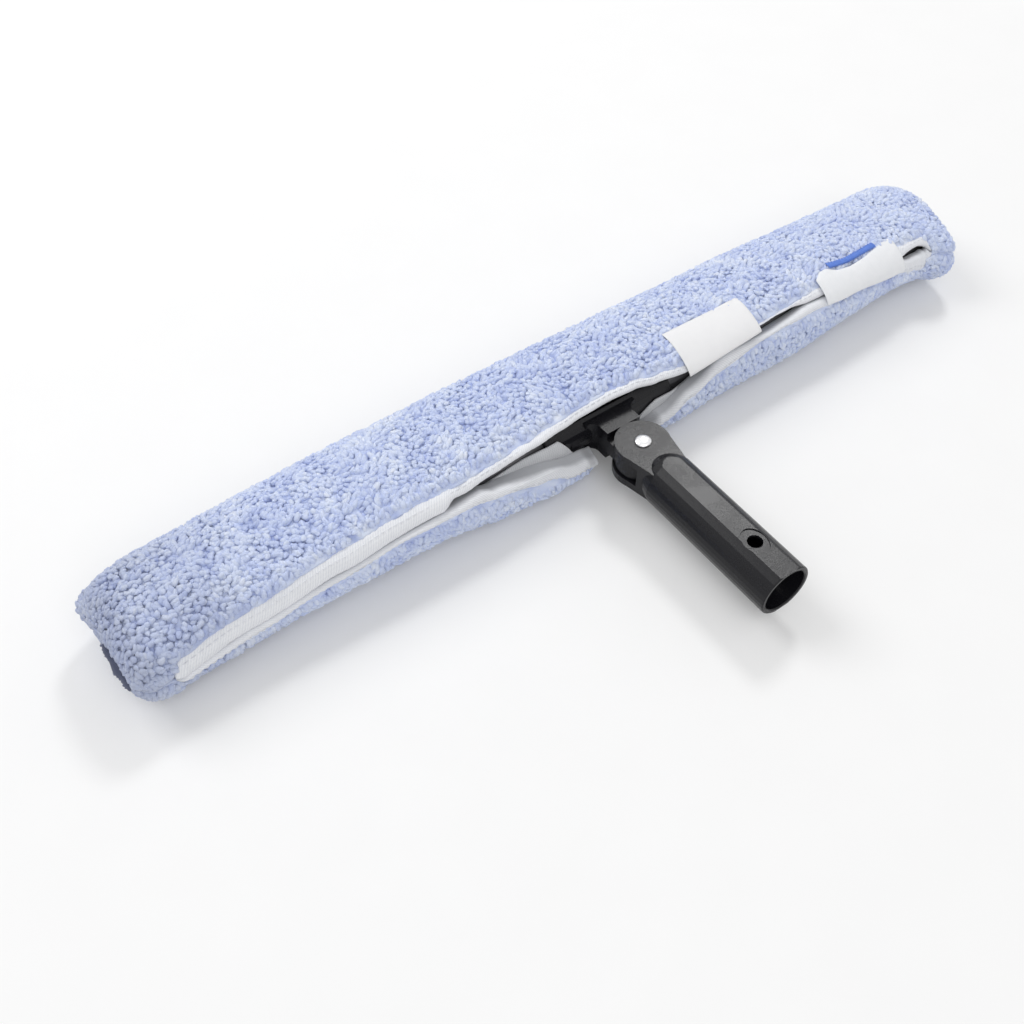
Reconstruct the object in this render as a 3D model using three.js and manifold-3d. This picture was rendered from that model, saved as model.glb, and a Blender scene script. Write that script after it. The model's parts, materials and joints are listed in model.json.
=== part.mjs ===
// Window strip washer: a T-bar in a plush sleeve, with a handle that swivels on a hub.
// Millimetres. +X runs along the bar to its right end, the handle points to -Y, +Z is up.
// The washer lies flat on its sleeve. The origin is on the ground under the middle of the bar.

import * as THREE from 'three';
import { mergeVertices } from 'three/addons/utils/BufferGeometryUtils.js';
import Module from 'manifold-3d';

const wasm = await Module();
wasm.setup();

// Bar
const BAR_LENGTH = 450;
const BAR_DEPTH = 44;
const BAR_HEIGHT = 20;
const BAR_WALL = 2.2;
const BAR_RIB = 2.4;
const CAP_FLANGE = 1.6;
const CAP_PLUG_DEPTH = 12;
const CAP_PLUG_WALL = 2;
const CAP_PLUG_SINK = 0.8;

// Sleeve
const PILE_REACH = 11.6;
const END_PILE = 6.6;
const BACKING_THICKNESS = 1.2;
const SLEEVE_SLACK = 0.4;
const END_ROUNDING = 16;
const END_VALLEY = 4;
const BINDING_WIDTH = 3.7;
const BINDING_HEIGHT = 9.2;
const BINDING_CROWN = 0.6;
const EDGE_GAP = 0.75;
const HOOK_INSET = 1.5;
const LOOP_INSET = 0.75;
const STITCH_WIDTH = 2.2;
const SEAM_WIDTH = 42;
const SEAM_THICKNESS = 1.8;
const SEAM_PROUD = 1.6;
const SEAM_CORNER = 2;
const TAPE_THICKNESS = 0.8;
const STITCH_HEIGHT = 0.7;
const LABEL_THICKNESS = 0.6;
const CLOSURE_INSET = 3;
const labelPlaceShares = [0.18, 0.39];
const labelHeightShares = [0.36, 0.88];
const closurePlaceShares = [0.53, 0.81];
const stitchPlaceShares = [0.61, 0.76];

// Hub
const SADDLE_LENGTH = 72;
const SADDLE_THICKNESS = 2.9;
const SADDLE_HEIGHT = 18.2;
const LIFT_FADE = 12;
const NECK_WIDTH = 19;
const NECK_HEIGHT = 16;
const NECK_FILLET = 5;
const TONGUE_RADIUS = 12;
const TONGUE_THICKNESS = 8;
const SCREW_SPACING = 52;
const SCREW_HEAD_RADIUS = 3.4;
const SCREW_RADIUS = 1.6;
const SCREW_TIP_RADIUS = 0.8;
const SCREW_LENGTH = 9;
const SCREW_SINK = 0.6;
const SCREW_RECESS_RADIUS = 1.4;
const SCREW_RECESS_FLOOR_RADIUS = 0.7;
const SCREW_RECESS_DEPTH = 1;

// Handle
const HANDLE_DIAMETER = 26;
const HANDLE_REACH = 94;
const LUG_RADIUS = 13;
const LUG_THICKNESS = 18;
const WEB_INSET = 1;
const WEB_NARROWING = 0.2;
const WEB_TAPER_START = 5;
const SHOULDER_BACK = 10;
const SHOULDER_START = 12;
const SHOULDER_RISE_END = 15;
const SHOULDER_END = 19;
const SHOULDER_STEP = 1;
const SHOULDER_ROUND = 1.2;
const LAND_DEPTH = 1;
const SOCKET_MOUTH_RADIUS = 10.8;
const SOCKET_FLOOR_RADIUS = 10.3;
const SOCKET_DEPTH = 58;
const SOCKET_FLOOR_EDGE = 2;
const SOCKET_CONE_RADIUS = 6.2;
const SOCKET_CONE_DEPTH = 3.4;
const MOUTH_CHAMFER = 0.5;
const BUTTON_HOLE_RADIUS = 3.5;
const BUTTON_HOLE_SETBACK = 21;
const BUTTON_PAD_RADIUS = 5.4;
const BUTTON_PAD_DEPTH = 0.5;
const BUTTON_PAD_STRETCH = 1.35;

// Pivot
const RIVET_RADIUS = 2.5;
const RIVET_HEAD_RADIUS = 3.9;
const RIVET_HEAD_HEIGHT = 1.5;
const WASHER_RADIUS = 9;
const WASHER_THICKNESS = 0.6;
const TAIL_WASHER_RADIUS = 5;
const TAIL_WASHER_THICKNESS = 0.8;
const WAVE_WASHER_RADIUS = 6.5;
const WAVE_WASHER_THICKNESS = 0.45;
const WAVE_HEIGHT = 0.35;
const WAVE_COUNT = 3;

// Clearances
const SEAT_GAP = 0.3;
const SWING_GAP = 0.6;
const CUT_OVERRUN = 5;
const SLIT_OVERRUN = 1;

// Shape of the section and fineness of the facets
const SQUARENESS = 2.4;
const UNDERSIDE_FLATTENING = 0.2;
const FACETS_AROUND = 36;
const FACETS_ROUND_PART = 36;
const FACETS_BORE = 24;
const FACETS_SCREW = 18;
const FACETS_BUTTON_HOLE = 16;
const FACETS_DOME = 5;
const FACETS_CUTTER = 12;
const FACETS_SADDLE = 8;
const FACETS_LABEL = 6;
const FACETS_TAPE = 3;
const FACETS_FLAT_STRIP = 2;
const FACETS_PER_WAVE = 12;
const HUB_STATIONS = 22;
const SLEEVE_STATIONS = 40;
const RIGHT_ANGLE = Math.PI / 2;
const FULL_TURN = 2 * Math.PI;
const DEGREE = Math.PI / 180;
const WELD_TOLERANCE = 1e-4;

// Places that follow from the sizes
const HALF_BAR = BAR_LENGTH / 2;
const HALF_DEPTH = BAR_DEPTH / 2;
const HALF_HEIGHT = BAR_HEIGHT / 2;
const MID_HEIGHT = HALF_HEIGHT + PILE_REACH;
const HANDLE_RADIUS = HANDLE_DIAMETER / 2;
const PIVOT_Y = -(HALF_DEPTH + PILE_REACH + HANDLE_RADIUS + SWING_GAP);
const BACKING_INNER = SLEEVE_SLACK;
const BACKING_OUTER = BACKING_INNER + BACKING_THICKNESS;
const PILE_INNER = BACKING_OUTER + SEAT_GAP;
const HALF_SADDLE = SADDLE_LENGTH / 2;
const LIFT_HALF_LENGTH = HALF_SADDLE + SEAT_GAP;
const SADDLE_INNER = SEAT_GAP;
const SADDLE_OUTER = SADDLE_INNER + SADDLE_THICKNESS;
const SCREW_FACE = HALF_DEPTH + SADDLE_OUTER - SCREW_SINK;
const CAVITY_HALF_LENGTH = HALF_BAR + CAP_FLANGE + 2 * SEAT_GAP;
const BACKING_END = CAVITY_HALF_LENGTH + BACKING_THICKNESS;
const HALF_SLEEVE = BACKING_END + END_PILE;
const SADDLE_RISE = SADDLE_HEIGHT / (2 * (HALF_HEIGHT + SADDLE_OUTER));
const SADDLE_ANGLE = Math.asin(Math.pow(SADDLE_RISE, SQUARENESS / 2)) / DEGREE;
const FORK_GAP = TONGUE_THICKNESS / 2 + WASHER_THICKNESS + 2 * SEAT_GAP;
const HALF_LUG = LUG_THICKNESS / 2;
const WAVE_WASHER_HEIGHT = WAVE_WASHER_THICKNESS + 2 * WAVE_HEIGHT;
const TAIL_WASHER_TOP = -(HALF_LUG + 2 * SEAT_GAP + WAVE_WASHER_HEIGHT);
const TAIL_WASHER_BOTTOM = TAIL_WASHER_TOP - TAIL_WASHER_THICKNESS;
const LAND_HEIGHT = HANDLE_RADIUS - LAND_DEPTH;

// The slit in the sleeve: places as shares of half its length, and the pile's two cut edges as
// shares of the quarter turn from the handle side (0) up to the top (1)
const slitPlaceShares = [
  -0.95, -0.8, -0.63, -0.5, -0.36, -0.29, -0.19, -0.12, -0.07, 0, 0.06,
  0.11, 0.18, 0.26, 0.39, 0.44, 0.51, 0.64, 0.78, 0.84, 0.89, 0.915,
];
const slitUpperShares = [
  0.17, 0.29, 0.4, 0.46, 0.48, 0.5, 0.54, 0.58, 0.61, 0.62, 0.6,
  0.54, 0.48, 0.49, 0.54, 0.57, 0.57, 0.56, 0.52, 0.5, 0.5, 0.44,
];
const slitLowerShares = [
  -0.06, 0.03, 0.11, 0.18, 0.14, 0.12, 0.03, -0.16, -0.56, -0.64, -0.56,
  -0.18, 0, 0.13, 0.26, 0.28, 0.28, 0.22, 0.12, 0.07, 0.07, 0.1,
];

// How full the pile is along the sleeve: slimmer towards the sewn ends, most at the right one
const fullnessPlaceShares = [-1, -0.84, -0.7, -0.56, -0.4, -0.25, 0.17, 0.3, 0.46, 0.6, 0.74, 0.86, 1];
const fullnessShares = [0.78, 0.78, 0.84, 0.94, 0.97, 1, 1, 0.9, 0.95, 0.82, 0.68, 0.62, 0.58];

// A smooth curve through a table, or straight lines, for any place along the bar
function throughTable(places, values, x, smooth = true) {
  const last = places.length - 1;
  if (x <= places[0]) return values[0];
  if (x >= places[last]) return values[last];
  const next = places.findIndex((place) => place >= x);
  const share = (x - places[next - 1]) / (places[next] - places[next - 1]);
  const eased = smooth ? share * share * (3 - 2 * share) : share;
  return values[next - 1] + (values[next] - values[next - 1]) * eased;
}

const fullness = (x) => throughTable(fullnessPlaceShares, fullnessShares, x / HALF_SLEEVE, false);
const fullnessPlaces = fullnessPlaceShares.slice(1, -1).map((share) => share * HALF_SLEEVE);
const edgeAt = (shares, x) => 90 * throughTable(slitPlaceShares, shares, x / HALF_SLEEVE);
const pileUpperEdge = (x) => edgeAt(slitUpperShares, x);
const pileLowerEdge = (x) => edgeAt(slitLowerShares, x);
const SLIT_START = slitPlaceShares[0] * HALF_SLEEVE;
const SLIT_END = slitPlaceShares[slitPlaceShares.length - 1] * HALF_SLEEVE;

// Where the cloth starts and ends its rise onto the hub's saddle
const LIFT_START = LIFT_HALF_LENGTH + LIFT_FADE;
const liftPlaces = [-LIFT_START, -LIFT_HALF_LENGTH, LIFT_HALF_LENGTH, LIFT_START];

// The cloth's lift off the bar where it rides over the hub's saddle
function clothLift(x, degrees) {
  const alongBar = Math.max(0, Math.abs(x) - LIFT_HALF_LENGTH) / LIFT_FADE;
  const pastSaddle = Math.max(0, Math.abs(degrees) - SADDLE_ANGLE) / SADDLE_ANGLE;
  return SADDLE_OUTER * Math.max(0, 1 - alongBar) * Math.max(0, 1 - pastSaddle * pastSaddle);
}

// The sleeve's sewn end. Each lobe turns over from the outside (90 degrees), past its furthest
// point (0), and back into the valley where the seam is.
const endTurns = [90, 60, 30, 0, -34, -68];
const endDepthShares = [1, 0.98, 0.9, 0.78, 0.7, 0.67];

// A point of the layer that lies a given height above the bar, at an angle in degrees
function layerPoint(x, degrees, height, options = {}) {
  const angle = degrees * DEGREE;
  const cos = Math.cos(angle);
  const sin = Math.sin(angle);
  const inPile = Math.max(0, height - PILE_INNER);
  const drawn = height - inPile + inPile * fullness(x);
  const wrapped = degrees > 180 ? degrees - 360 : degrees;
  const lift = options.lifted ? clothLift(x, wrapped) * (1 - height / PILE_REACH) : 0;
  const raised = drawn + lift;
  const across = Math.sign(cos) * Math.pow(Math.abs(cos), 2 / SQUARENESS);
  const upward = Math.sign(sin) * Math.pow(Math.abs(sin), 2 / SQUARENESS);
  const depthShare = Math.max(0, Math.min(1, raised / PILE_REACH));
  const drop = sin < 0 ? 1 + UNDERSIDE_FLATTENING * depthShare : 1;
  const y = -across * (HALF_DEPTH + raised) * (options.depthShare ?? 1);
  const z = Math.max(-1, upward * drop) * (HALF_HEIGHT + raised) * (options.heightShare ?? 1);
  return new THREE.Vector3(x, y, MID_HEIGHT + z);
}

// Evenly spaced values from a to b
function spread(a, b, count) {
  return Array.from({ length: count + 1 }, (_, i) => a + (b - a) * i / count);
}

// The angles of the facets once round the bar
const aroundBar = spread(0, 360, FACETS_AROUND).slice(0, -1);

// A length across the sleeve's surface, as degrees round its section
const section = aroundBar.map((degrees) => layerPoint(0, degrees, PILE_REACH));
const GIRTH = section.reduce((sum, point, i) => sum + point.distanceTo(section.at(i - 1)), 0);
const acrossSleeve = (length) => 360 * length / GIRTH;

// Places along the whole bar, closer where the slit's edges turn round the hub
const LEAST_SPACING = HALF_SLEEVE / SLEEVE_STATIONS;
const sleevePlaces = [...liftPlaces, ...fullnessPlaces, SLIT_START, SLIT_END];
for (const x of [
  ...spread(-LIFT_HALF_LENGTH, LIFT_HALF_LENGTH, HUB_STATIONS),
  ...slitPlaceShares.map((share) => share * HALF_SLEEVE),
  ...spread(-HALF_SLEEVE, HALF_SLEEVE, SLEEVE_STATIONS),
]) {
  const least = Math.abs(x) < LIFT_START ? LIFT_START / HUB_STATIONS : LEAST_SPACING;
  const apart = sleevePlaces.every((near) => Math.abs(near - x) > least);
  if (apart) sleevePlaces.push(x);
}
sleevePlaces.sort((p, q) => p - q);

// The same places between two ends
function places(from, to) {
  return [from, ...sleevePlaces.filter((x) => x > from + SEAT_GAP && x < to - SEAT_GAP), to];
}

function closedGeometry(points, faces) {
  const geometry = new THREE.BufferGeometry();
  const flat = points.flatMap((p) => [p.x, p.y, p.z]);
  geometry.setAttribute('position', new THREE.Float32BufferAttribute(flat, 3));
  const volume = faces.reduce((sum, [a, b, c]) => {
    const normal = new THREE.Vector3().crossVectors(points[b], points[c]);
    return sum + points[a].dot(normal);
  }, 0);
  const outward = volume < 0 ? faces.map(([a, b, c]) => [a, c, b]) : faces;
  geometry.setIndex(outward.flat());
  return geometry;
}

// Joins closed loops of points into a skin, and closes its first and last loop.
// A fan closes a round loop. A strip closes a flat one, whose second half runs back under its first.
function loft(loops, cap = 'fan') {
  const count = loops[0].length;
  const points = loops.flat();
  const faces = [];
  for (let row = 0; row + 1 < loops.length; row += 1) {
    for (let i = 0; i < count; i += 1) {
      const a = row * count + i;
      const b = row * count + (i + 1) % count;
      faces.push([a, b, b + count], [a, b + count, a + count]);
    }
  }
  for (const [start, turn] of [[0, 1], [(loops.length - 1) * count, 0]]) {
    const close = (a, b, c) => faces.push(turn ? [a, c, b] : [a, b, c]);
    if (cap === 'fan') {
      for (let i = 1; i + 1 < count; i += 1) close(start, start + i, start + i + 1);
    } else {
      for (let i = 0; i + 1 < count / 2; i += 1) {
        const far = start + count - 1 - i;
        close(start + i, start + i + 1, far - 1);
        close(start + i, far - 1, far);
      }
    }
  }
  return closedGeometry(points, faces);
}

// A bolster that fills everything up to a height above the bar, with a sewn valley in each end
function bolster(height, halfLength) {
  const endLoops = endTurns.map((degrees, i) => {
    const turn = degrees * DEGREE;
    const run = degrees > 0 ? END_ROUNDING : END_VALLEY;
    const x = halfLength - run * (1 - Math.cos(turn));
    const shares = { depthShare: endDepthShares[i], heightShare: (1 + Math.sin(turn)) / 2 };
    return [x, shares];
  });
  const left = endLoops.map(([x, shares]) => [-x, shares]).reverse();
  const between = fullnessPlaces.map((x) => [x, {}]);
  const loops = [...left, ...between, ...endLoops].map(([x, shares]) => (
    aroundBar.map((degrees) => layerPoint(x, degrees, height, shares))
  ));
  return loft(loops);
}

// A strip that lies on a layer between two edges, from one height to another
function layerStrip(from, to, lowEdge, highEdge, bottom, top, options = {}) {
  const facets = options.facets ?? FACETS_FLAT_STRIP;
  const stations = places(from, to);
  const loops = stations.map((x) => {
    const angles = spread(lowEdge(x), highEdge(x), facets);
    const outer = angles.map((degrees, i) => {
      const crown = options.crown && i > 0 && i < facets ? options.crown : 0;
      return layerPoint(x, degrees, top + crown, options);
    });
    const inner = angles.map((degrees) => layerPoint(x, degrees, bottom, options)).reverse();
    return outer.concat(inner);
  });
  return loft(loops, 'strip');
}

// Solids for cutting and joining
function solid(geometry) {
  const bare = geometry.clone();
  bare.deleteAttribute('normal');
  bare.deleteAttribute('uv');
  const merged = mergeVertices(bare, WELD_TOLERANCE);
  const vertProperties = new Float32Array(merged.attributes.position.array);
  const triVerts = new Uint32Array(merged.index.array);
  return new wasm.Manifold(new wasm.Mesh({ numProp: 3, vertProperties, triVerts }));
}

function surface(body) {
  const mesh = body.getMesh();
  const geometry = new THREE.BufferGeometry();
  geometry.setAttribute('position', new THREE.BufferAttribute(mesh.vertProperties, 3));
  geometry.setIndex(new THREE.BufferAttribute(mesh.triVerts, 1));
  return geometry;
}

const join = (...geometries) => geometries.map(solid).reduce((sum, next) => sum.add(next));
const cut = (body, ...tools) => tools.reduce((rest, tool) => rest.subtract(solid(tool)), body);

// Outlines and primitive solids
function shapeFrom(points) {
  return new THREE.Shape(points.map(([x, y]) => new THREE.Vector2(x, y)));
}

function extrudeUp(shape, bottom, top) {
  const geometry = new THREE.ExtrudeGeometry(shape, {
    depth: top - bottom,
    bevelEnabled: false,
    curveSegments: FACETS_ROUND_PART / 2,
  });
  return geometry.translate(0, 0, bottom);
}

// An outline drawn across the bar is carried along it
function extrudeAlongBar(shape, from, to) {
  const along = new THREE.Matrix4().makeBasis(
    new THREE.Vector3(0, 1, 0),
    new THREE.Vector3(0, 0, 1),
    new THREE.Vector3(1, 0, 0),
  );
  return extrudeUp(shape, from, to).applyMatrix4(along).translate(0, 0, MID_HEIGHT);
}

function postUp(radius, bottom, top, x = 0, y = 0, facets = FACETS_ROUND_PART) {
  const post = new THREE.CylinderGeometry(radius, radius, top - bottom, facets);
  return post.rotateX(RIGHT_ANGLE).translate(x, y, (top + bottom) / 2);
}

function block(x0, x1, y0, y1, z0, z1) {
  const box = new THREE.BoxGeometry(x1 - x0, y1 - y0, z1 - z0);
  return box.translate((x0 + x1) / 2, (y0 + y1) / 2, (z0 + z1) / 2);
}

// A profile of [radius, distance from the pivot] turned about the handle's axis
function turnAlongHandle(profile, facets = FACETS_ROUND_PART) {
  const points = profile.map(([radius, distance]) => new THREE.Vector2(radius, distance));
  const turned = new THREE.LatheGeometry(points, facets);
  return turned.rotateX(Math.PI);
}

// A point of the bar's outline, drawn in by an inset, at an angle in degrees
function barPoint(inset, degrees) {
  const cos = Math.cos(degrees * DEGREE);
  const sin = Math.sin(degrees * DEGREE);
  const across = Math.sign(cos) * Math.pow(Math.abs(cos), 2 / SQUARENESS);
  const upward = Math.sign(sin) * Math.pow(Math.abs(sin), 2 / SQUARENESS);
  return [across * (HALF_DEPTH - inset), upward * (HALF_HEIGHT - inset)];
}

function barOutline(inset) {
  return shapeFrom(aroundBar.map((degrees) => barPoint(inset, degrees)));
}

// One of the bar's two chambers, drawn in by an inset. Its flat side runs along the middle rib.
function chamberOutline(side, inset) {
  const flat = BAR_RIB / 2 + inset;
  const wall = BAR_WALL + inset;
  const flatShare = Math.pow(flat / (HALF_DEPTH - wall), SQUARENESS);
  const corner = Math.pow(1 - flatShare, 1 / SQUARENESS) * (HALF_HEIGHT - wall);
  const round = spread(-90, 90, FACETS_AROUND / 2).map((degrees) => barPoint(wall, degrees));
  const kept = round.filter(([across]) => across > flat + SEAT_GAP);
  const points = [[flat, -corner], ...kept, [flat, corner]].map(([y, z]) => [side * y, z]);
  return shapeFrom(side < 0 ? points.reverse() : points);
}

function screwHole(side, radius) {
  const hole = new THREE.CylinderGeometry(radius, radius, HALF_DEPTH, FACETS_SCREW);
  const x = side * SCREW_SPACING / 2;
  return hole.translate(x, -HALF_DEPTH, MID_HEIGHT);
}

// Bar: a hollow extrusion with a rib down its middle
function makeBar() {
  const outline = barOutline(0);
  for (const side of [-1, 1]) outline.holes.push(chamberOutline(side, 0));
  const extrusion = solid(extrudeAlongBar(outline, -HALF_BAR, HALF_BAR));
  return surface(cut(extrusion, ...[-1, 1].map((side) => screwHole(side, SCREW_RADIUS + SEAT_GAP))));
}

// End cap: a flange over the bar's end and a hollow plug in each chamber
function makeEndCap(end) {
  const seat = HALF_BAR + SEAT_GAP;
  const flange = extrudeAlongBar(barOutline(0), seat, seat + CAP_FLANGE);
  const plugs = [-1, 1].map((side) => {
    const plug = chamberOutline(side, SEAT_GAP);
    plug.holes.push(chamberOutline(side, SEAT_GAP + CAP_PLUG_WALL));
    return extrudeAlongBar(plug, seat - CAP_PLUG_DEPTH, seat + CAP_PLUG_SINK);
  });
  const cap = surface(join(flange, ...plugs));
  return end > 0 ? cap : cap.rotateZ(Math.PI);
}

// The pocket in the sleeve that everything in the slit has to clear
function slitCutter() {
  const bottom = BACKING_INNER - SLIT_OVERRUN;
  const top = PILE_REACH + SLIT_OVERRUN;
  const fineness = { facets: FACETS_CUTTER };
  return layerStrip(SLIT_START, SLIT_END, pileLowerEdge, pileUpperEdge, bottom, top, fineness);
}

function endSeamPocket(end) {
  const half = SEAM_WIDTH / 2 + SEAT_GAP;
  const rise = SEAM_THICKNESS / 2 + SEAT_GAP;
  const far = HALF_SLEEVE + CUT_OVERRUN;
  const xs = end > 0 ? [BACKING_END, far] : [-far, -BACKING_END];
  return block(xs[0], xs[1], -half, half, MID_HEIGHT - rise, MID_HEIGHT + rise);
}

// Pile: the whole bolster less the backing's space, the slit and the two seam grooves
function makePile() {
  const outer = solid(bolster(PILE_REACH, HALF_SLEEVE));
  const inner = cavity(PILE_INNER, BACKING_END + SEAT_GAP);
  return surface(cut(outer, inner, slitCutter(), endSeamPocket(-1), endSeamPocket(1)));
}

// The space inside a layer of cloth: square-ended, and lifted where it passes the hub
function cavity(height, halfLength) {
  const stations = [-halfLength, ...liftPlaces, halfLength];
  const loops = stations.map((x) => aroundBar.map((degrees) => (
    layerPoint(x, degrees, height, { lifted: true })
  )));
  return loft(loops);
}

// Backing: the woven ground cloth between the bar and the pile
function makeBacking() {
  const outer = solid(cavity(BACKING_OUTER, BACKING_END));
  return surface(cut(outer, cavity(BACKING_INNER, CAVITY_HALF_LENGTH), slitCutter()));
}

// Binding: a rolled tape along one edge of the slit
function makeBinding(upper) {
  const edge = upper ? pileUpperEdge : pileLowerEdge;
  const side = upper ? -1 : 1;
  const near = (x) => edge(x) + side * acrossSleeve(EDGE_GAP);
  const far = (x) => edge(x) + side * acrossSleeve(EDGE_GAP + BINDING_WIDTH);
  const from = SLIT_START + SEAT_GAP;
  const to = SLIT_END - SEAT_GAP;
  const roll = { lifted: true, crown: BINDING_CROWN };
  const [low, high] = upper ? [far, near] : [near, far];
  return layerStrip(from, to, low, high, BACKING_INNER, BINDING_HEIGHT, roll);
}

// Flat tapes over the closed slit
function closureStrip(from, to, inset, bottom) {
  const low = (x) => pileLowerEdge(x) + acrossSleeve(inset);
  const high = (x) => pileUpperEdge(x) - acrossSleeve(inset);
  return layerStrip(from, to, low, high, bottom, bottom + TAPE_THICKNESS, { facets: FACETS_TAPE });
}

const alongSleeve = (shares) => shares.map((share) => share * HALF_SLEEVE);
const HOOK_BOTTOM = BINDING_HEIGHT + BINDING_CROWN + SEAT_GAP;
const LOOP_BOTTOM = HOOK_BOTTOM + TAPE_THICKNESS + SEAT_GAP;
const STITCH_BOTTOM = LOOP_BOTTOM + TAPE_THICKNESS + SEAT_GAP;

function makeHookTape() {
  const [from, to] = alongSleeve(closurePlaceShares);
  return closureStrip(from + CLOSURE_INSET, to - CLOSURE_INSET, HOOK_INSET, HOOK_BOTTOM);
}

function makeLoopTape() {
  const [from, to] = alongSleeve(closurePlaceShares);
  return closureStrip(from, to, LOOP_INSET, LOOP_BOTTOM);
}

function makeStitching() {
  const low = (x) => pileUpperEdge(x) - acrossSleeve(LOOP_INSET + STITCH_WIDTH);
  const high = (x) => pileUpperEdge(x) - acrossSleeve(LOOP_INSET);
  const top = STITCH_BOTTOM + STITCH_HEIGHT;
  const [from, to] = alongSleeve(stitchPlaceShares);
  return layerStrip(from, to, low, high, STITCH_BOTTOM, top);
}

// Label: a bare tab that lies on the pile and hangs over the slit
function makeLabel() {
  const bottom = PILE_REACH + SEAT_GAP;
  const top = bottom + LABEL_THICKNESS;
  const [from, to] = alongSleeve(labelPlaceShares);
  const [low, high] = labelHeightShares.map((share) => () => 90 * share);
  return layerStrip(from, to, low, high, bottom, top, { facets: FACETS_LABEL });
}

// End seam: a flat overlocked tape sewn into the valley of the sleeve's end
function makeEndSeam(end) {
  const near = BACKING_END + SEAT_GAP;
  const far = HALF_SLEEVE - END_VALLEY + SEAM_PROUD;
  const half = SEAM_WIDTH / 2;
  const outline = [
    [near, -half],
    [far - SEAM_CORNER, -half],
    [far, SEAM_CORNER - half],
    [far, half - SEAM_CORNER],
    [far - SEAM_CORNER, half],
    [near, half],
  ];
  const rise = SEAM_THICKNESS / 2;
  const shape = shapeFrom(outline.map(([x, y]) => [end * x, end * y]));
  return surface(solid(extrudeUp(shape, MID_HEIGHT - rise, MID_HEIGHT + rise)));
}

// Hub: a saddle on the bar's front, a filleted neck and a round tongue
function neckOutline() {
  const half = NECK_WIDTH / 2;
  const front = PIVOT_Y + LUG_RADIUS + SWING_GAP;
  const rear = -HALF_DEPTH / 2;
  const armLine = -(HALF_DEPTH + SADDLE_OUTER) + SADDLE_THICKNESS / 2;
  const shape = new THREE.Shape();
  shape.moveTo(-half, rear);
  shape.lineTo(-half - NECK_FILLET, rear);
  shape.lineTo(-half - NECK_FILLET, armLine);
  shape.absarc(-half - NECK_FILLET, armLine - NECK_FILLET, NECK_FILLET, RIGHT_ANGLE, 0, true);
  shape.lineTo(-half, front);
  shape.lineTo(half, front);
  shape.lineTo(half, armLine - NECK_FILLET);
  shape.absarc(half + NECK_FILLET, armLine - NECK_FILLET, NECK_FILLET, Math.PI, RIGHT_ANGLE, true);
  shape.lineTo(half + NECK_FILLET, rear);
  return shape;
}

function tongueOutline() {
  const half = NECK_WIDTH / 2;
  const shape = new THREE.Shape();
  const corner = Math.asin(half / TONGUE_RADIUS);
  shape.moveTo(-half, -HALF_DEPTH);
  shape.lineTo(-half, PIVOT_Y + TONGUE_RADIUS * Math.cos(corner));
  shape.absarc(0, PIVOT_Y, TONGUE_RADIUS, RIGHT_ANGLE + corner, RIGHT_ANGLE - corner, false);
  shape.lineTo(half, -HALF_DEPTH);
  return shape;
}

// The countersink in the saddle's face, over each screw hole
function screwSink(side) {
  const narrow = SCREW_RADIUS + SEAT_GAP;
  const depth = SCREW_HEAD_RADIUS - SCREW_RADIUS;
  const sink = new THREE.CylinderGeometry(narrow, narrow + 2 * depth, 2 * depth, FACETS_SCREW);
  return sink.rotateX(Math.PI).translate(side * SCREW_SPACING / 2, -SCREW_FACE, MID_HEIGHT);
}

function makeHub() {
  const saddle = layerStrip(
    -HALF_SADDLE, HALF_SADDLE, () => -SADDLE_ANGLE, () => SADDLE_ANGLE,
    -SADDLE_INNER, SADDLE_OUTER, { facets: FACETS_SADDLE },
  );
  const neck = extrudeUp(neckOutline(), MID_HEIGHT - NECK_HEIGHT / 2, MID_HEIGHT + NECK_HEIGHT / 2);
  const half = TONGUE_THICKNESS / 2;
  const tongue = extrudeUp(tongueOutline(), MID_HEIGHT - half, MID_HEIGHT + half);
  const barSpace = cavityAtBar();
  const bore = postUp(RIVET_RADIUS + SEAT_GAP, 0, 2 * MID_HEIGHT, 0, PIVOT_Y, FACETS_BORE);
  const body = join(neck, tongue, saddle);
  const holes = [-1, 1].flatMap((side) => [screwHole(side, SCREW_RADIUS + SEAT_GAP), screwSink(side)]);
  return surface(cut(body, barSpace, bore, ...holes));
}

// The bar with a seat gap round it, as the hub and the backing see it
function cavityAtBar() {
  const reach = HALF_SADDLE + CUT_OVERRUN;
  const loops = [-reach, reach].map((x) => (
    aroundBar.map((degrees) => layerPoint(x, degrees, SADDLE_INNER))
  ));
  return loft(loops);
}

// Countersunk screw through the saddle into the bar's front wall
function makeHubScrew(side) {
  const tip = SCREW_FACE - SCREW_LENGTH;
  const neck = SCREW_FACE - (SCREW_HEAD_RADIUS - SCREW_RADIUS);
  const recessFloor = SCREW_FACE - SCREW_RECESS_DEPTH;
  const profile = [
    [0, tip],
    [SCREW_TIP_RADIUS, tip],
    [SCREW_RADIUS, tip + SCREW_RADIUS],
    [SCREW_RADIUS, neck],
    [SCREW_HEAD_RADIUS, SCREW_FACE],
    [SCREW_RECESS_RADIUS, SCREW_FACE],
    [SCREW_RECESS_FLOOR_RADIUS, recessFloor],
    [0, recessFloor],
  ];
  const points = profile.map(([radius, y]) => new THREE.Vector2(radius, y));
  const screw = new THREE.LatheGeometry(points, FACETS_SCREW).rotateX(Math.PI);
  return surface(solid(screw.translate(side * SCREW_SPACING / 2, 0, MID_HEIGHT)));
}

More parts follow.
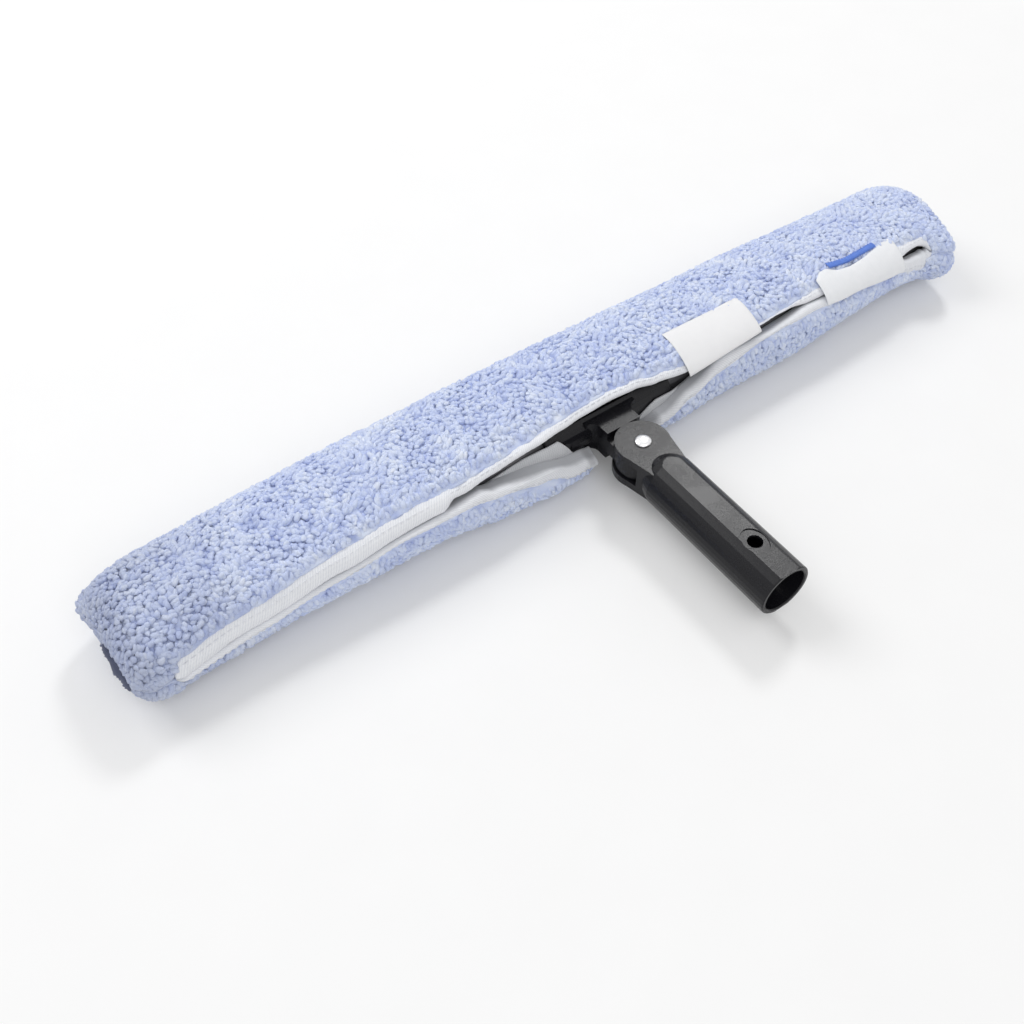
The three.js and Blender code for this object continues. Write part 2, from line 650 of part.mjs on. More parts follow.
// Handle, drawn with the pivot at its origin and its axis along -Y
function makeHandle() {
  const end = HANDLE_REACH;
  const tube = turnAlongHandle([
    [0, SHOULDER_BACK],
    [HALF_LUG - SHOULDER_STEP, SHOULDER_BACK],
    [HALF_LUG + SHOULDER_STEP, SHOULDER_START],
    [HANDLE_RADIUS - SHOULDER_ROUND, SHOULDER_RISE_END],
    [HANDLE_RADIUS, SHOULDER_END],
    [HANDLE_RADIUS, end - MOUTH_CHAMFER],
    [HANDLE_RADIUS - MOUTH_CHAMFER, end],
    [0, end],
  ]);
  const lug = postUp(LUG_RADIUS, -HALF_LUG, HALF_LUG);
  const halfWeb = LUG_RADIUS - WEB_INSET;
  const halfNarrow = Math.sqrt(HANDLE_RADIUS * HANDLE_RADIUS - HALF_LUG * HALF_LUG) - WEB_NARROWING;
  const webOutline = shapeFrom([
    [-halfNarrow, -SHOULDER_END],
    [halfNarrow, -SHOULDER_END],
    [halfWeb, -WEB_TAPER_START],
    [halfWeb, 0],
    [-halfWeb, 0],
    [-halfWeb, -WEB_TAPER_START],
  ]);
  const web = extrudeUp(webOutline, -HALF_LUG, HALF_LUG);
  const floor = end - SOCKET_DEPTH;
  const socket = turnAlongHandle([
    [0, floor - SOCKET_CONE_DEPTH],
    [SOCKET_CONE_RADIUS, floor],
    [SOCKET_FLOOR_RADIUS, floor + SOCKET_FLOOR_EDGE],
    [SOCKET_MOUTH_RADIUS, end - MOUTH_CHAMFER],
    [SOCKET_MOUTH_RADIUS + MOUTH_CHAMFER, end],
    [SOCKET_MOUTH_RADIUS + MOUTH_CHAMFER, end + CUT_OVERRUN],
    [0, end + CUT_OVERRUN],
  ]);
  const neckClear = NECK_WIDTH / 2 + SEAT_GAP;
  const past = LUG_RADIUS + CUT_OVERRUN;
  const slotRound = postUp(TONGUE_RADIUS + SWING_GAP, -FORK_GAP, FORK_GAP);
  const slotBack = block(-past, past, -neckClear, past, -FORK_GAP, FORK_GAP);
  const bore = postUp(RIVET_RADIUS + SEAT_GAP, -LUG_THICKNESS, LUG_THICKNESS, 0, 0, FACETS_BORE);
  const lands = [-1, 1].map((side) => {
    const levels = [side * LAND_HEIGHT, side * (LAND_HEIGHT + CUT_OVERRUN)];
    const [bottom, top] = levels.sort((a, b) => a - b);
    return block(-HANDLE_RADIUS, HANDLE_RADIUS, -end - CUT_OVERRUN, 0, bottom, top);
  });
  const holeY = -(end - BUTTON_HOLE_SETBACK);
  const through = HANDLE_RADIUS + CUT_OVERRUN;
  const buttonHole = postUp(BUTTON_HOLE_RADIUS, -through, through, 0, holeY, FACETS_BUTTON_HOLE);
  const pads = [-1, 1].map((side) => {
    const levels = [side * (LAND_HEIGHT - BUTTON_PAD_DEPTH), side * through];
    const [bottom, top] = levels.sort((a, b) => a - b);
    const pad = postUp(BUTTON_PAD_RADIUS, bottom, top, 0, 0, FACETS_BORE);
    return pad.scale(1, BUTTON_PAD_STRETCH, 1).translate(0, holeY, 0);
  });
  const body = join(tube, lug, web);
  const tools = [socket, slotRound, slotBack, bore, ...lands, buttonHole, ...pads];
  return surface(cut(body, ...tools));
}

// Rivet: a shaft, a domed head above the lug and a formed tail below its washer
function makeRivet() {
  const top = HALF_LUG + SEAT_GAP;
  const tail = SEAT_GAP - TAIL_WASHER_BOTTOM;
  const dome = spread(0, RIGHT_ANGLE, FACETS_DOME).map((angle) => [
    RIVET_HEAD_RADIUS * Math.cos(angle), top + RIVET_HEAD_HEIGHT * Math.sin(angle)]);
  const formed = spread(0, RIGHT_ANGLE, FACETS_DOME).map((angle) => [
    RIVET_HEAD_RADIUS * Math.sin(angle), -tail - RIVET_HEAD_HEIGHT * Math.cos(angle)]);
  dome[dome.length - 1][0] = 0;
  const profile = formed.concat([[RIVET_RADIUS, -tail], [RIVET_RADIUS, top]], dome);
  const points = profile.map(([radius, z]) => new THREE.Vector2(radius, z));
  return surface(solid(new THREE.LatheGeometry(points, FACETS_BORE).rotateX(RIGHT_ANGLE)));
}

function makeWasher(outer, thickness, bottom) {
  const shape = new THREE.Shape();
  shape.absarc(0, 0, outer, 0, FULL_TURN, false);
  const hole = new THREE.Path();
  hole.absarc(0, 0, RIVET_RADIUS + SEAT_GAP, 0, FULL_TURN, true);
  shape.holes.push(hole);
  return surface(solid(extrudeUp(shape, bottom, bottom + thickness)));
}

// Spring washer: a flat ring bent into even waves, which keeps the pivot tight
function makeWaveWasher(bottom) {
  const middle = bottom + WAVE_WASHER_HEIGHT / 2;
  const half = WAVE_WASHER_THICKNESS / 2;
  const steps = FACETS_PER_WAVE * WAVE_COUNT;
  const points = [];
  const faces = [];
  for (let step = 0; step < steps; step += 1) {
    const angle = FULL_TURN * step / steps;
    const wave = middle + WAVE_HEIGHT * Math.cos(WAVE_COUNT * angle);
    const section = [
      [RIVET_RADIUS + SEAT_GAP, wave - half],
      [WAVE_WASHER_RADIUS, wave - half],
      [WAVE_WASHER_RADIUS, wave + half],
      [RIVET_RADIUS + SEAT_GAP, wave + half],
    ];
    for (const [radius, z] of section) {
      points.push(new THREE.Vector3(radius * Math.cos(angle), radius * Math.sin(angle), z));
    }
    for (let side = 0; side < 4; side += 1) {
      const [a, b] = [4 * step + side, 4 * step + (side + 1) % 4];
      const [c, d] = [a, b].map((i) => (i + 4) % (4 * steps));
      faces.push([a, b, d], [a, d, c]);
    }
  }
  return closedGeometry(points, faces);
}

// Materials
const finish = (color, roughness, metalness) => ({ color, roughness, metalness });
const FINISHES = {
  plush: finish(0xa9b8e6, 0.95, 0),
  backing: finish(0xe4e5ea, 0.9, 0),
  binding: finish(0xf2f2f5, 0.85, 0),
  closure: finish(0xf4f4f4, 0.8, 0),
  stitch: finish(0x2f5fd0, 0.7, 0),
  seam: finish(0x5d6478, 0.9, 0),
  label: finish(0xfafafa, 0.7, 0),
  bar: finish(0x3c3d40, 0.45, 0.6),
  moulding: finish(0x1a1b1d, 0.42, 0),
  steel: finish(0xd8dadc, 0.25, 1),
  blackSteel: finish(0x2c2d30, 0.4, 1),
  washer: finish(0xdcdcd6, 0.6, 0),
};

function piece(name, geometry, finishName) {
  const mesh = new THREE.Mesh(geometry, new THREE.MeshStandardMaterial(FINISHES[finishName]));
  mesh.name = name;
  return mesh;
}

// Assembly
const washer = new THREE.Group();

washer.add(piece('t_bar', makeBar(), 'bar'));
for (const [side, end] of [['left', -1], ['right', 1]]) {
  washer.add(piece(`bar_end_cap_${side}`, makeEndCap(end), 'moulding'));
  washer.add(piece(`end_seam_${side}`, makeEndSeam(end), 'seam'));
  washer.add(piece(`hub_screw_${side}`, makeHubScrew(end), 'blackSteel'));
}
washer.add(piece('swivel_hub', makeHub(), 'moulding'));

washer.add(piece('sleeve_pile', makePile(), 'plush'));
washer.add(piece('sleeve_backing', makeBacking(), 'backing'));
washer.add(piece('slit_binding_upper', makeBinding(true), 'binding'));
washer.add(piece('slit_binding_lower', makeBinding(false), 'binding'));
washer.add(piece('closure_hook_tape', makeHookTape(), 'closure'));
washer.add(piece('closure_loop_tape', makeLoopTape(), 'closure'));
washer.add(piece('closure_stitching', makeStitching(), 'stitch'));
washer.add(piece('blank_label', makeLabel(), 'label'));

const swivel = new THREE.Group();
swivel.position.set(0, PIVOT_Y, MID_HEIGHT);
swivel.add(piece('handle_body', makeHandle(), 'moulding'));
swivel.add(piece('pivot_rivet', makeRivet(), 'steel'));
swivel.add(piece('wave_washer', makeWaveWasher(TAIL_WASHER_TOP + SEAT_GAP), 'steel'));
const tailWasher = makeWasher(TAIL_WASHER_RADIUS, TAIL_WASHER_THICKNESS, TAIL_WASHER_BOTTOM);
swivel.add(piece('rivet_washer', tailWasher, 'steel'));
const upperBottom = TONGUE_THICKNESS / 2 + SEAT_GAP;
const lowerBottom = -upperBottom - WASHER_THICKNESS;
for (const [name, bottom] of [['upper', upperBottom], ['lower', lowerBottom]]) {
  const frictionWasher = makeWasher(WASHER_RADIUS, WASHER_THICKNESS, bottom);
  swivel.add(piece(`friction_washer_${name}`, frictionWasher, 'washer'));
}
washer.add(swivel);

export default washer;
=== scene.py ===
"""Window strip washer: the looks of its parts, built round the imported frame.

Metres, in the frame's own axes: +X along the bar, -Y out along the handle, +Z up.
"""
import json
import logging
import math
from dataclasses import dataclass, field
from enum import Enum
from itertools import product
from typing import Any, Callable, Mapping, Sequence

import bpy
import numpy as np
from mathutils import Matrix, Vector


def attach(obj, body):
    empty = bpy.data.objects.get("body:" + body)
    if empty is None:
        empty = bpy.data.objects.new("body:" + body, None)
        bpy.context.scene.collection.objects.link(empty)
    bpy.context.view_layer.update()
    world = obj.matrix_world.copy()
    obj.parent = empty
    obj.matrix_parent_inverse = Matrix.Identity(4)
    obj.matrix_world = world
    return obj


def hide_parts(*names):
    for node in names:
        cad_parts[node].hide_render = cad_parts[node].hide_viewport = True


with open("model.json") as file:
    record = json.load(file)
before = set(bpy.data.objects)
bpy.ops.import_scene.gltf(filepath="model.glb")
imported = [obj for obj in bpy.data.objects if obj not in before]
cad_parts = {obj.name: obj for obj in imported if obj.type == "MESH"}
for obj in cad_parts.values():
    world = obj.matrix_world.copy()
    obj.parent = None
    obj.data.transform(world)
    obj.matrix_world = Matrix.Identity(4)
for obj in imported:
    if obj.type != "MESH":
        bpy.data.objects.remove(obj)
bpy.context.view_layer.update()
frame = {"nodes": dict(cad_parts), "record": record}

LOG = logging.getLogger("washer")
MM = 0.001
FULL_TURN = 2 * math.pi
Array = np.ndarray
Colour = tuple[float, float, float]
Table = tuple[tuple[float, ...], ...]
WHITE: Colour = (1.0, 1.0, 1.0)
FLOOR_GAP = 0.2 * MM


def smoothstep(share: Array) -> Array:
    """Eases a share from 0 to 1: t squared times (3 - 2t), held at 0 and 1 outside.

    Args:
        share: any numbers.

    Returns:
        The eased shares.
    """
    t = np.clip(share, 0.0, 1.0)
    return t * t * (3.0 - 2.0 * t)


def hump(values: Array, middle: float, half: float) -> Array:
    """A smoothstep hill: 1 at its middle and 0 from half its width away."""
    return smoothstep(1.0 - np.abs(values - middle) / half)


def wrapped(degrees: Array) -> Array:
    """Angles brought between -180 and 180 degrees."""
    return (degrees + 180.0) % 360.0 - 180.0


def unit(vectors: Array) -> Array:
    """Vectors divided by their lengths, with x, y, z on the last axis."""
    return vectors / np.maximum(np.linalg.norm(vectors, axis=-1, keepdims=True), 1e-12)


def run_lengths(points: Array, axis: int = 0) -> Array:
    """The length run along an axis of points, from the first point to each."""
    steps = np.linalg.norm(np.diff(points, axis=axis), axis=-1)
    return np.insert(np.cumsum(steps, axis=axis), 0, 0.0, axis=axis)


def cloth_places(x: Array, across: Array) -> Array:
    """Cloth coordinates: each row's place along the cloth, with the places across it."""
    return np.stack(np.broadcast_arrays(x[:, None], across), axis=-1)


class LatticeNoise:
    """Smooth seeded noise: random numbers on a cubic lattice, blended by smoothstep."""

    def __init__(self, seed: int, size: int = 32) -> None:
        """Draws the lattice's numbers.

        Args:
            seed: the random draw's seed.
            size: how many cells the lattice has before it repeats.
        """
        self.size = size
        self.table = np.random.default_rng(seed).random((size, size, size))

    def at(self, points: Array, pitch: float) -> Array:
        """The noise at points: the eight corners of each lattice cell, weighted by nearness.

        Args:
            points: places, with x, y, z on the last axis.
            pitch: the width of a lattice cell, in metres.

        Returns:
            Values from 0 to 1, one a point.
        """
        scaled = points / pitch
        base = np.floor(scaled).astype(np.int64)
        near = smoothstep(scaled - base)
        total = np.zeros(points.shape[:-1])
        for corner in product((0, 1), repeat=3):
            weight = np.prod(np.where(np.array(corner) == 1, near, 1.0 - near), axis=-1)
            cell = (base + np.array(corner)) % self.size
            total += weight * self.table[cell[..., 0], cell[..., 1], cell[..., 2]]
        return total


# ---- Meshes -------------------------------------------------------------------------------


@dataclass
class Shape:
    """Points and faces of a mesh, with what its material reads.

    Attributes:
        points: one row of x, y, z a vertex.
        faces: arrays of vertex numbers, each with three or four columns.
        values: a number a vertex, by attribute name.
        uv: two numbers a vertex, in metres over the cloth.
    """

    points: Array
    faces: list[Array]
    values: dict[str, Array] = field(default_factory=dict)
    uv: Array | None = None

    def made(self, name: str, material: bpy.types.Material) -> bpy.types.Object:
        """Puts the shape into Blender as a smooth object at the origin.

        Args:
            name: the piece's name.
            material: its finish.

        Returns:
            The new object.
        """
        mesh = bpy.data.meshes.new(name)
        loops = np.concatenate([part.ravel() for part in self.faces]).astype(np.int32)
        totals = np.concatenate([np.full(len(part), part.shape[1]) for part in self.faces])
        starts = np.concatenate([[0], np.cumsum(totals)[:-1]]).astype(np.int32)
        mesh.vertices.add(len(self.points))
        mesh.vertices.foreach_set("co", self.points.astype(np.float32).ravel())
        mesh.loops.add(len(loops))
        mesh.loops.foreach_set("vertex_index", loops)
        mesh.polygons.add(len(totals))
        mesh.polygons.foreach_set("loop_start", starts)
        mesh.polygons.foreach_set("use_smooth", np.ones(len(totals), bool))
        mesh.update(calc_edges=True)
        mesh.validate()
        for key, numbers in self.values.items():
            layer = mesh.attributes.new(key, "FLOAT", "POINT")
            layer.data.foreach_set("value", numbers.astype(np.float32).ravel())
        if self.uv is not None:
            layer = mesh.uv_layers.new(name="Cloth")
            layer.data.foreach_set("uv", self.uv[loops].astype(np.float32).ravel())
        mesh.materials.append(material)
        made = bpy.data.objects.new(name, mesh)
        bpy.context.scene.collection.objects.link(made)
        return made

    def turned_outward(self) -> "Shape":
        """Turns every face over if the signed volume is negative.

        Returns:
            The same shape.
        """
        volume = 0.0
        for part in self.faces:
            for near, far in ((1, 2), (2, 3))[: part.shape[1] - 2]:
                a, b, c = (self.points[part[:, i]] for i in (0, near, far))
                volume += float(np.einsum("ij,ij->", a, np.cross(b, c)))
        if volume < 0:
            self.faces = [part[:, ::-1] for part in self.faces]
        return self


def skin(index: Array) -> Array:
    """Quads between each loop of vertex numbers and the next.

    Args:
        index: vertex numbers, with the places in a loop on the last axis and loops before it.

    Returns:
        The quads, in four columns.
    """
    ahead = np.roll(index, -1, axis=-1)
    corners = [index[..., :-1, :], ahead[..., :-1, :], ahead[..., 1:, :], index[..., 1:, :]]
    return np.stack(corners, axis=-1).reshape(-1, 4)


def fan(loops: Array) -> Array:
    """Triangles that close loops of vertex numbers, from each loop's first vertex."""
    first = np.broadcast_to(loops[:, :1], (len(loops), loops.shape[1] - 2))
    return np.stack([first, loops[:, 1:-1], loops[:, 2:]], axis=-1).reshape(-1, 3)


def lofted(loops: Array, uv: Array | None = None,
           values: Mapping[str, Array] | None = None) -> Shape:
    """A closed skin through closed loops: each loop joins the next, and both ends are capped.

    A cap joins point i of its loop to point -i, so it suits a flat profile whose second half
    runs back under its first.

    Args:
        loops: points of every loop, as loop, place in the loop, x y z.
        uv: the cloth's coordinates, of the same layout with two numbers.
        values: attributes of the same layout with one number.

    Returns:
        The closed shape, with its faces outward.
    """
    rows, count = loops.shape[:2]
    index = np.arange(rows * count).reshape(rows, count)
    step = np.arange(0, count // 2 - 1)
    caps = []
    for loop, turn in ((index[0], -1), (index[-1], 1)):
        quads = np.stack([loop[step], loop[step + 1], loop[-2 - step], loop[-1 - step]], axis=-1)
        caps.append(quads[:, ::turn])
        if count % 2:
            middle = count // 2
            caps.append(loop[[[middle - 1, middle, middle + 1]]][:, ::turn])
    flat = {key: part.reshape(-1) for key, part in (values or {}).items()}
    cloth = None if uv is None else uv.reshape(-1, 2)
    return Shape(loops.reshape(-1, 3), [skin(index), *caps], flat, cloth).turned_outward()


def threads(starts: Array, ends: Array, rise: Array, radius: float, sides: int = 5,
            steps: int = 5) -> Shape:
    """Short bent threads: each runs from a start to an end in a bow, thinning at both ends.

    The centre line is start + t(end - start) + sin(pi t) rise, and the radius is the given one
    times a share that grows from 0.45 by 0.55 sin(pi t).

    Args:
        starts: where each thread enters the cloth.
        ends: where it goes back in.
        rise: how far and which way its middle stands up.
        radius: the thread's radius.
        sides: facets round it.
        steps: loops along it.

    Returns:
        All the threads as one shape.
    """
    t = np.linspace(0.0, 1.0, steps)[None, :, None]
    line = starts[:, None] + t * (ends - starts)[:, None] + np.sin(np.pi * t) * rise[:, None]
    along = unit(ends - starts)
    up = unit(rise - np.sum(rise * along, axis=-1, keepdims=True) * along)
    side = np.cross(along, up)
    turn = np.linspace(0.0, FULL_TURN, sides, endpoint=False)
    ring = np.cos(turn)[:, None] * side[:, None] + np.sin(turn)[:, None] * up[:, None]
    swell = radius * (0.45 + 0.55 * np.sin(np.pi * t[..., None]))
    points = line[:, :, None] + swell * ring[:, None]
    index = np.arange(len(starts) * steps * sides).reshape(-1, steps, sides)
    faces = [skin(index), fan(index[:, 0])[:, ::-1], fan(index[:, -1])]
    return Shape(points.reshape(-1, 3), faces).turned_outward()


# ---- Finishes -----------------------------------------------------------------------------


class Value:
    """A node's output with Python's arithmetic: each expression adds a Math node."""

    def __init__(self, tree: "Tree", socket: bpy.types.NodeSocket) -> None:
        """Wraps a socket of a tree."""
        self.tree = tree
        self.socket = socket

    def __add__(self, other: "Value | float") -> "Value":
        """The sum."""
        return self.tree.maths("ADD", self, other)

    def __sub__(self, other: "Value | float") -> "Value":
        """The difference."""
        return self.tree.maths("SUBTRACT", self, other)

    def __mul__(self, other: "Value | float") -> "Value":
        """The product."""
        return self.tree.maths("MULTIPLY", self, other)


class Tree:
    """The nodes of a material or a world, with one way to add any node."""

    def __init__(self, owner: bpy.types.Material | bpy.types.World) -> None:
        """Empties the nodes of a material or a world.

        Args:
            owner: what they belong to.
        """
        self.owner = owner
        self.owner.use_nodes = True
        self.nodes = self.owner.node_tree.nodes
        self.links = self.owner.node_tree.links
        self.nodes.clear()

    def node(self, kind: str, settings: Mapping[str, Any] | None = None,
             inputs: Mapping[str | int, Any] | None = None) -> bpy.types.Node:
        """Adds a node, sets it, then fills its sockets.

        Args:
            kind: Blender's name of the node type.
            settings: its properties; "stops" gives a ramp's places and grey values.
            inputs: values or links, by the socket's name or number.

        Returns:
            The node.
        """
        made = self.nodes.new(kind)
        for key, value in (settings or {}).items():
            if key == "stops":
                ramp = made.color_ramp.elements
                while len(ramp) < len(value):
                    ramp.new(0.5)
                for element, (place, colour) in zip(ramp, value):
                    element.position = place
                    element.color = (*colour, 1.0)
            else:
                setattr(made, key, value)
        for key, value in (inputs or {}).items():
            if isinstance(key, int):
                socket = made.inputs[key]
            else:
                socket = next(s for s in made.inputs if s.name == key and s.enabled)
            if isinstance(value, Value):
                self.links.new(value.socket, socket)
            elif isinstance(value, tuple) and len(value) == 3 and socket.type == "RGBA":
                socket.default_value = (*value, 1.0)
            else:
                socket.default_value = value
        return made

    def out(self, node: bpy.types.Node, name: str | None = None) -> Value:
        """One of a node's outputs: the named one, or the first that is on."""
        sockets = [s for s in node.outputs if s.enabled]
        return Value(self, sockets[0] if name is None else node.outputs[name])

    def maths(self, operation: str, *terms: "Value | float") -> Value:
        """A Math node on values and numbers."""
        inputs = dict(enumerate(terms))
        return self.out(self.node("ShaderNodeMath", {"operation": operation}, inputs))

    def held(self, value: Value) -> Value:
        """A value held between 0 and 1."""
        return self.out(self.node("ShaderNodeMath", {"operation": "ADD", "use_clamp": True},
                                  {0: value, 1: 0.0}))

    def place(self) -> Value:
        """Object coordinates."""
        return self.out(self.node("ShaderNodeTexCoord"), "Object")

    def cloth(self) -> tuple[Value, Value, Value]:
        """The cloth's own coordinates, in metres.

        Returns:
            The vector, and its parts along and across the cloth.
        """
        vector = self.out(self.node("ShaderNodeUVMap", {"uv_map": "Cloth"}))
        parts = self.node("ShaderNodeSeparateXYZ", None, {0: vector})
        return vector, self.out(parts, "X"), self.out(parts, "Y")

    def stretched(self, vector: Value, scale: tuple[float, float, float]) -> Value:
        """Coordinates multiplied by a scale."""
        return self.out(self.node("ShaderNodeMapping", None, {"Vector": vector, "Scale": scale}))

    def noise(self, vector: Value, scale: float, detail: float = 2.0,
              roughness: float = 0.5) -> Value:
        """Fractal noise, about 0 to 1, with so many waves a metre."""
        inputs = {"Vector": vector, "Scale": scale, "Detail": detail, "Roughness": roughness}
        return self.out(self.node("ShaderNodeTexNoise", None, inputs))

    def attribute(self, name: str) -> Value:
        """One of the mesh's own numbers."""
        return self.out(self.node("ShaderNodeAttribute", {"attribute_name": name}), "Fac")

    def wave(self, place: Value, period: float) -> Value:
        """A ridge every period: half of 1 + the sine of 2 pi place / period."""
        return self.maths("SINE", place * (FULL_TURN / period)) * 0.5 + 0.5

    def ramp(self, value: Value, stops: Sequence[tuple[float, Colour]]) -> Value:
        """Colours laid along a value."""
        return self.out(self.node("ShaderNodeValToRGB", {"stops": stops}, {"Fac": value}))

    def mixed(self, share: "Value | float", first: "Value | Colour", second: "Value | Colour",
              blend: str = "MIX") -> Value:
        """A Mix node on two colours.

        Args:
            share: how much of the second colour shows.
            first, second: the colours.
            blend: Blender's name of the way they blend.

        Returns:
            The blend.
        """
        settings = {"data_type": "RGBA", "blend_type": blend}
        inputs = {"Factor": share, "A": first, "B": second}
        return self.out(self.node("ShaderNodeMix", settings, inputs))

    def seen(self) -> Value:
        """1 on rays that show a thing to the camera: straight, mirrored or let through.

        Returns:
            1 or 0.
        """
        rays = self.node("ShaderNodeLightPath")
        shown = self.out(rays, "Is Camera Ray")
        for kind in ("Is Glossy Ray", "Is Transmission Ray"):
            shown = self.maths("MAXIMUM", shown, self.out(rays, kind))
        return shown

    def finish(self, sockets: Mapping[str, Any], height: Value | None = None,
               depth: float = 0.0) -> bpy.types.Material:
        """Ends the tree in a Principled shader.

        Args:
            sockets: values or links of the shader, by name.
            height: relief for a Bump node, from 0 to 1.
            depth: how deep that relief is, in metres.

        Returns:
            The material.
        """
        shader = self.node("ShaderNodeBsdfPrincipled", None, sockets)
        if height is not None:
            bump = self.node("ShaderNodeBump", None, {"Distance": depth, "Height": height})
            self.links.new(bump.outputs["Normal"], shader.inputs["Normal"])
        end = self.node("ShaderNodeOutputMaterial")
        self.links.new(shader.outputs["BSDF"], end.inputs["Surface"])
        return self.owner


@dataclass(frozen=True)
class Plush:
    """Mottled microfibre pile: pale flecks and a few deep ones on a periwinkle ground.

    Attributes:
        deep, ground, pale, tip: its colours, from the darkest flecks to the lightest.
        worn: the grey painted as shade over its left end.
        fleck, blotch, fibre: how fine its specks, patches and fibres are, in waves a metre.
    """

    deep: Colour = (0.42, 0.50, 0.80)
    ground: Colour = (0.58, 0.66, 0.91)
    pale: Colour = (0.70, 0.77, 0.95)
    tip: Colour = (0.85, 0.89, 0.98)
    worn: Colour = (0.34, 0.38, 0.53)
    fleck: float = 1400.0
    blotch: float = 170.0
    fibre: float = 2600.0

    def material(self) -> bpy.types.Material:
        """The pile's material; it reads the mesh's tone and tip, and the painted shade at its left
        end.

        Returns:
            The material.
        """
        tree = Tree(bpy.data.materials.new("plush"))
        place = tree.place()
        tone = tree.attribute("tone")
        flecks = tree.noise(place, self.fleck, 2.0)
        blotches = tree.noise(place, self.blotch, 2.0)
        level = tree.held(tone * 0.8 + flecks * 0.16 + blotches * 0.3 - 0.13)
        stops = [(0.08, self.deep), (0.36, self.ground), (0.66, self.pale), (0.95, self.tip)]
        colour = tree.ramp(level, stops)
        shade = tree.ramp(tree.attribute("tip"), [(0.0, (0.9, 0.91, 0.95)), (0.5, WHITE)])
        colour = tree.mixed(1.0, colour, shade, "MULTIPLY")
        # Painted shade: grey mixed in towards the left end, most on its rim.
        colour = tree.mixed(tree.attribute("soil") * 0.5, colour, self.worn)
        fibres = tree.noise(tree.stretched(place, (1.0, 1.0, 0.6)), self.fibre, 3.0, 0.7)
        sockets = {"Base Color": colour, "Roughness": 0.92, "Sheen Weight": 0.25,
                   "Sheen Roughness": 0.6, "Specular IOR Level": 0.1}
        return tree.finish(sockets, fibres, 0.0003)


class Weave(Enum):
    """How a cloth's threads cross: the ratio of its diagonal to its straight ridges."""

    PLAIN = 0.0
    TWILL = 1.0


@dataclass(frozen=True)
class Woven:
    """A woven cloth or tape.

    Attributes:
        name: the finish's name.
        colour: its thread's colour.
        hollow: the colour between threads.
        pitch: the spacing of its threads, in metres.
        weave: how the threads cross.
        roughness: its roughness.
        soil: how much grey it has picked up, in patches.
        shade_from: where across it the painted shade of its turned-in part starts, in metres.
        dull: the colour of that painted shade.
        shade_width: the width over which the painted shade grows, in metres.
    """

    name: str
    colour: Colour
    hollow: Colour
    pitch: float = 0.9 * MM
    weave: Weave = Weave.PLAIN
    roughness: float = 0.85
    soil: float = 0.25
    shade_from: float | None = None
    dull: Colour = (0.5, 0.51, 0.54)
    shade_width: float = 2.5 * MM

    def material(self) -> bpy.types.Material:
        """The cloth's material, on its own coordinates.

        Returns:
            The material.
        """
        tree = Tree(bpy.data.materials.new(self.name))
        vector, along, across = tree.cloth()
        warp = tree.wave(along, self.pitch)
        weft = tree.wave(across, self.pitch)
        straight = tree.maths("MAXIMUM", warp, weft)
        diagonal = tree.wave(along + across, self.pitch * 1.6)
        twill = self.weave.value
        relief = straight * (1.0 - 0.7 * twill) + diagonal * (0.7 * twill)
        slub = tree.noise(vector, 260.0, 3.0)
        grime = tree.noise(tree.place(), 45.0, 3.0, 0.6)
        colour = tree.mixed(tree.held(relief * 0.75 + slub * 0.4), self.hollow, self.colour)
        grey = tree.held((grime - 0.42) * (2.2 * self.soil))
        colour = tree.mixed(grey, colour, self.hollow)
        # Painted shade: the turned-in part of the tape, down in the slit, greys across its width.
        if self.shade_from is not None:
            inside = tree.held((across - self.shade_from) * (1.0 / self.shade_width))
            colour = tree.mixed(inside, colour, self.dull)
        fuzz = tree.noise(vector, 2400.0, 2.0)
        sockets = {"Base Color": colour, "Roughness": self.roughness, "Sheen Weight": 0.15,
                   "Specular IOR Level": 0.25}
        return tree.finish(sockets, relief * 0.7 + fuzz * 0.3, 0.00012)


@dataclass(frozen=True)
class Thread:
    """Sewing thread.

    Attributes:
        name: the finish's name.
        colour: the lit colour.
        shade: the colour between its strands.
    """

    name: str
    colour: Colour
    shade: Colour

    def material(self) -> bpy.types.Material:
        """The thread's material, with fine strands.

        Returns:
            The material.
        """
        tree = Tree(bpy.data.materials.new(self.name))
        place = tree.place()
        strands = tree.noise(tree.stretched(place, (0.5, 1.0, 1.0)), 3200.0, 2.0, 0.6)
        wash = tree.noise(place, 240.0, 2.0)
        colour = tree.mixed(tree.held(strands * 0.8 + wash * 0.4), self.shade, self.colour)
        sockets = {"Base Color": colour, "Roughness": 0.6, "Sheen Weight": 0.1}
        return tree.finish(sockets, strands, 0.0002)


@dataclass(frozen=True)
class Moulded:
    """Black moulded plastic with a fine spark texture and slight scuffs.

    Attributes:
        name: the finish's name.
        colour: its colour.
        scuffed: its colour where it is rubbed.
        roughness: its roughness where it is clean.
        grain: how deep its texture is, in metres.
    """

    name: str = "black_moulding"
    colour: Colour = (0.007, 0.007, 0.009)
    scuffed: Colour = (0.03, 0.03, 0.034)
    roughness: float = 0.26
    grain: float = 0.00004

    def material(self) -> bpy.types.Material:
        """The plastic's material.

        Returns:
            The material.
        """
        tree = Tree(bpy.data.materials.new(self.name))
        place = tree.place()
        spark = tree.noise(place, 2300.0, 2.0, 0.6)
        cloud = tree.noise(place, 60.0, 3.0, 0.55)
        streaks = tree.noise(tree.stretched(place, (1.0, 0.12, 1.0)), 420.0, 3.0, 0.6)
        rubbed = tree.held((streaks - 0.6) * 4.0) * tree.held((cloud - 0.45) * 4.0)
        colour = tree.mixed(rubbed * 0.6, self.colour, self.scuffed)
        roughness = cloud * 0.14 + spark * 0.08 + rubbed * 0.12 + (self.roughness - 0.1)
        sockets = {"Base Color": colour, "Roughness": roughness, "Specular IOR Level": 0.25}
        return tree.finish(sockets, spark, self.grain)


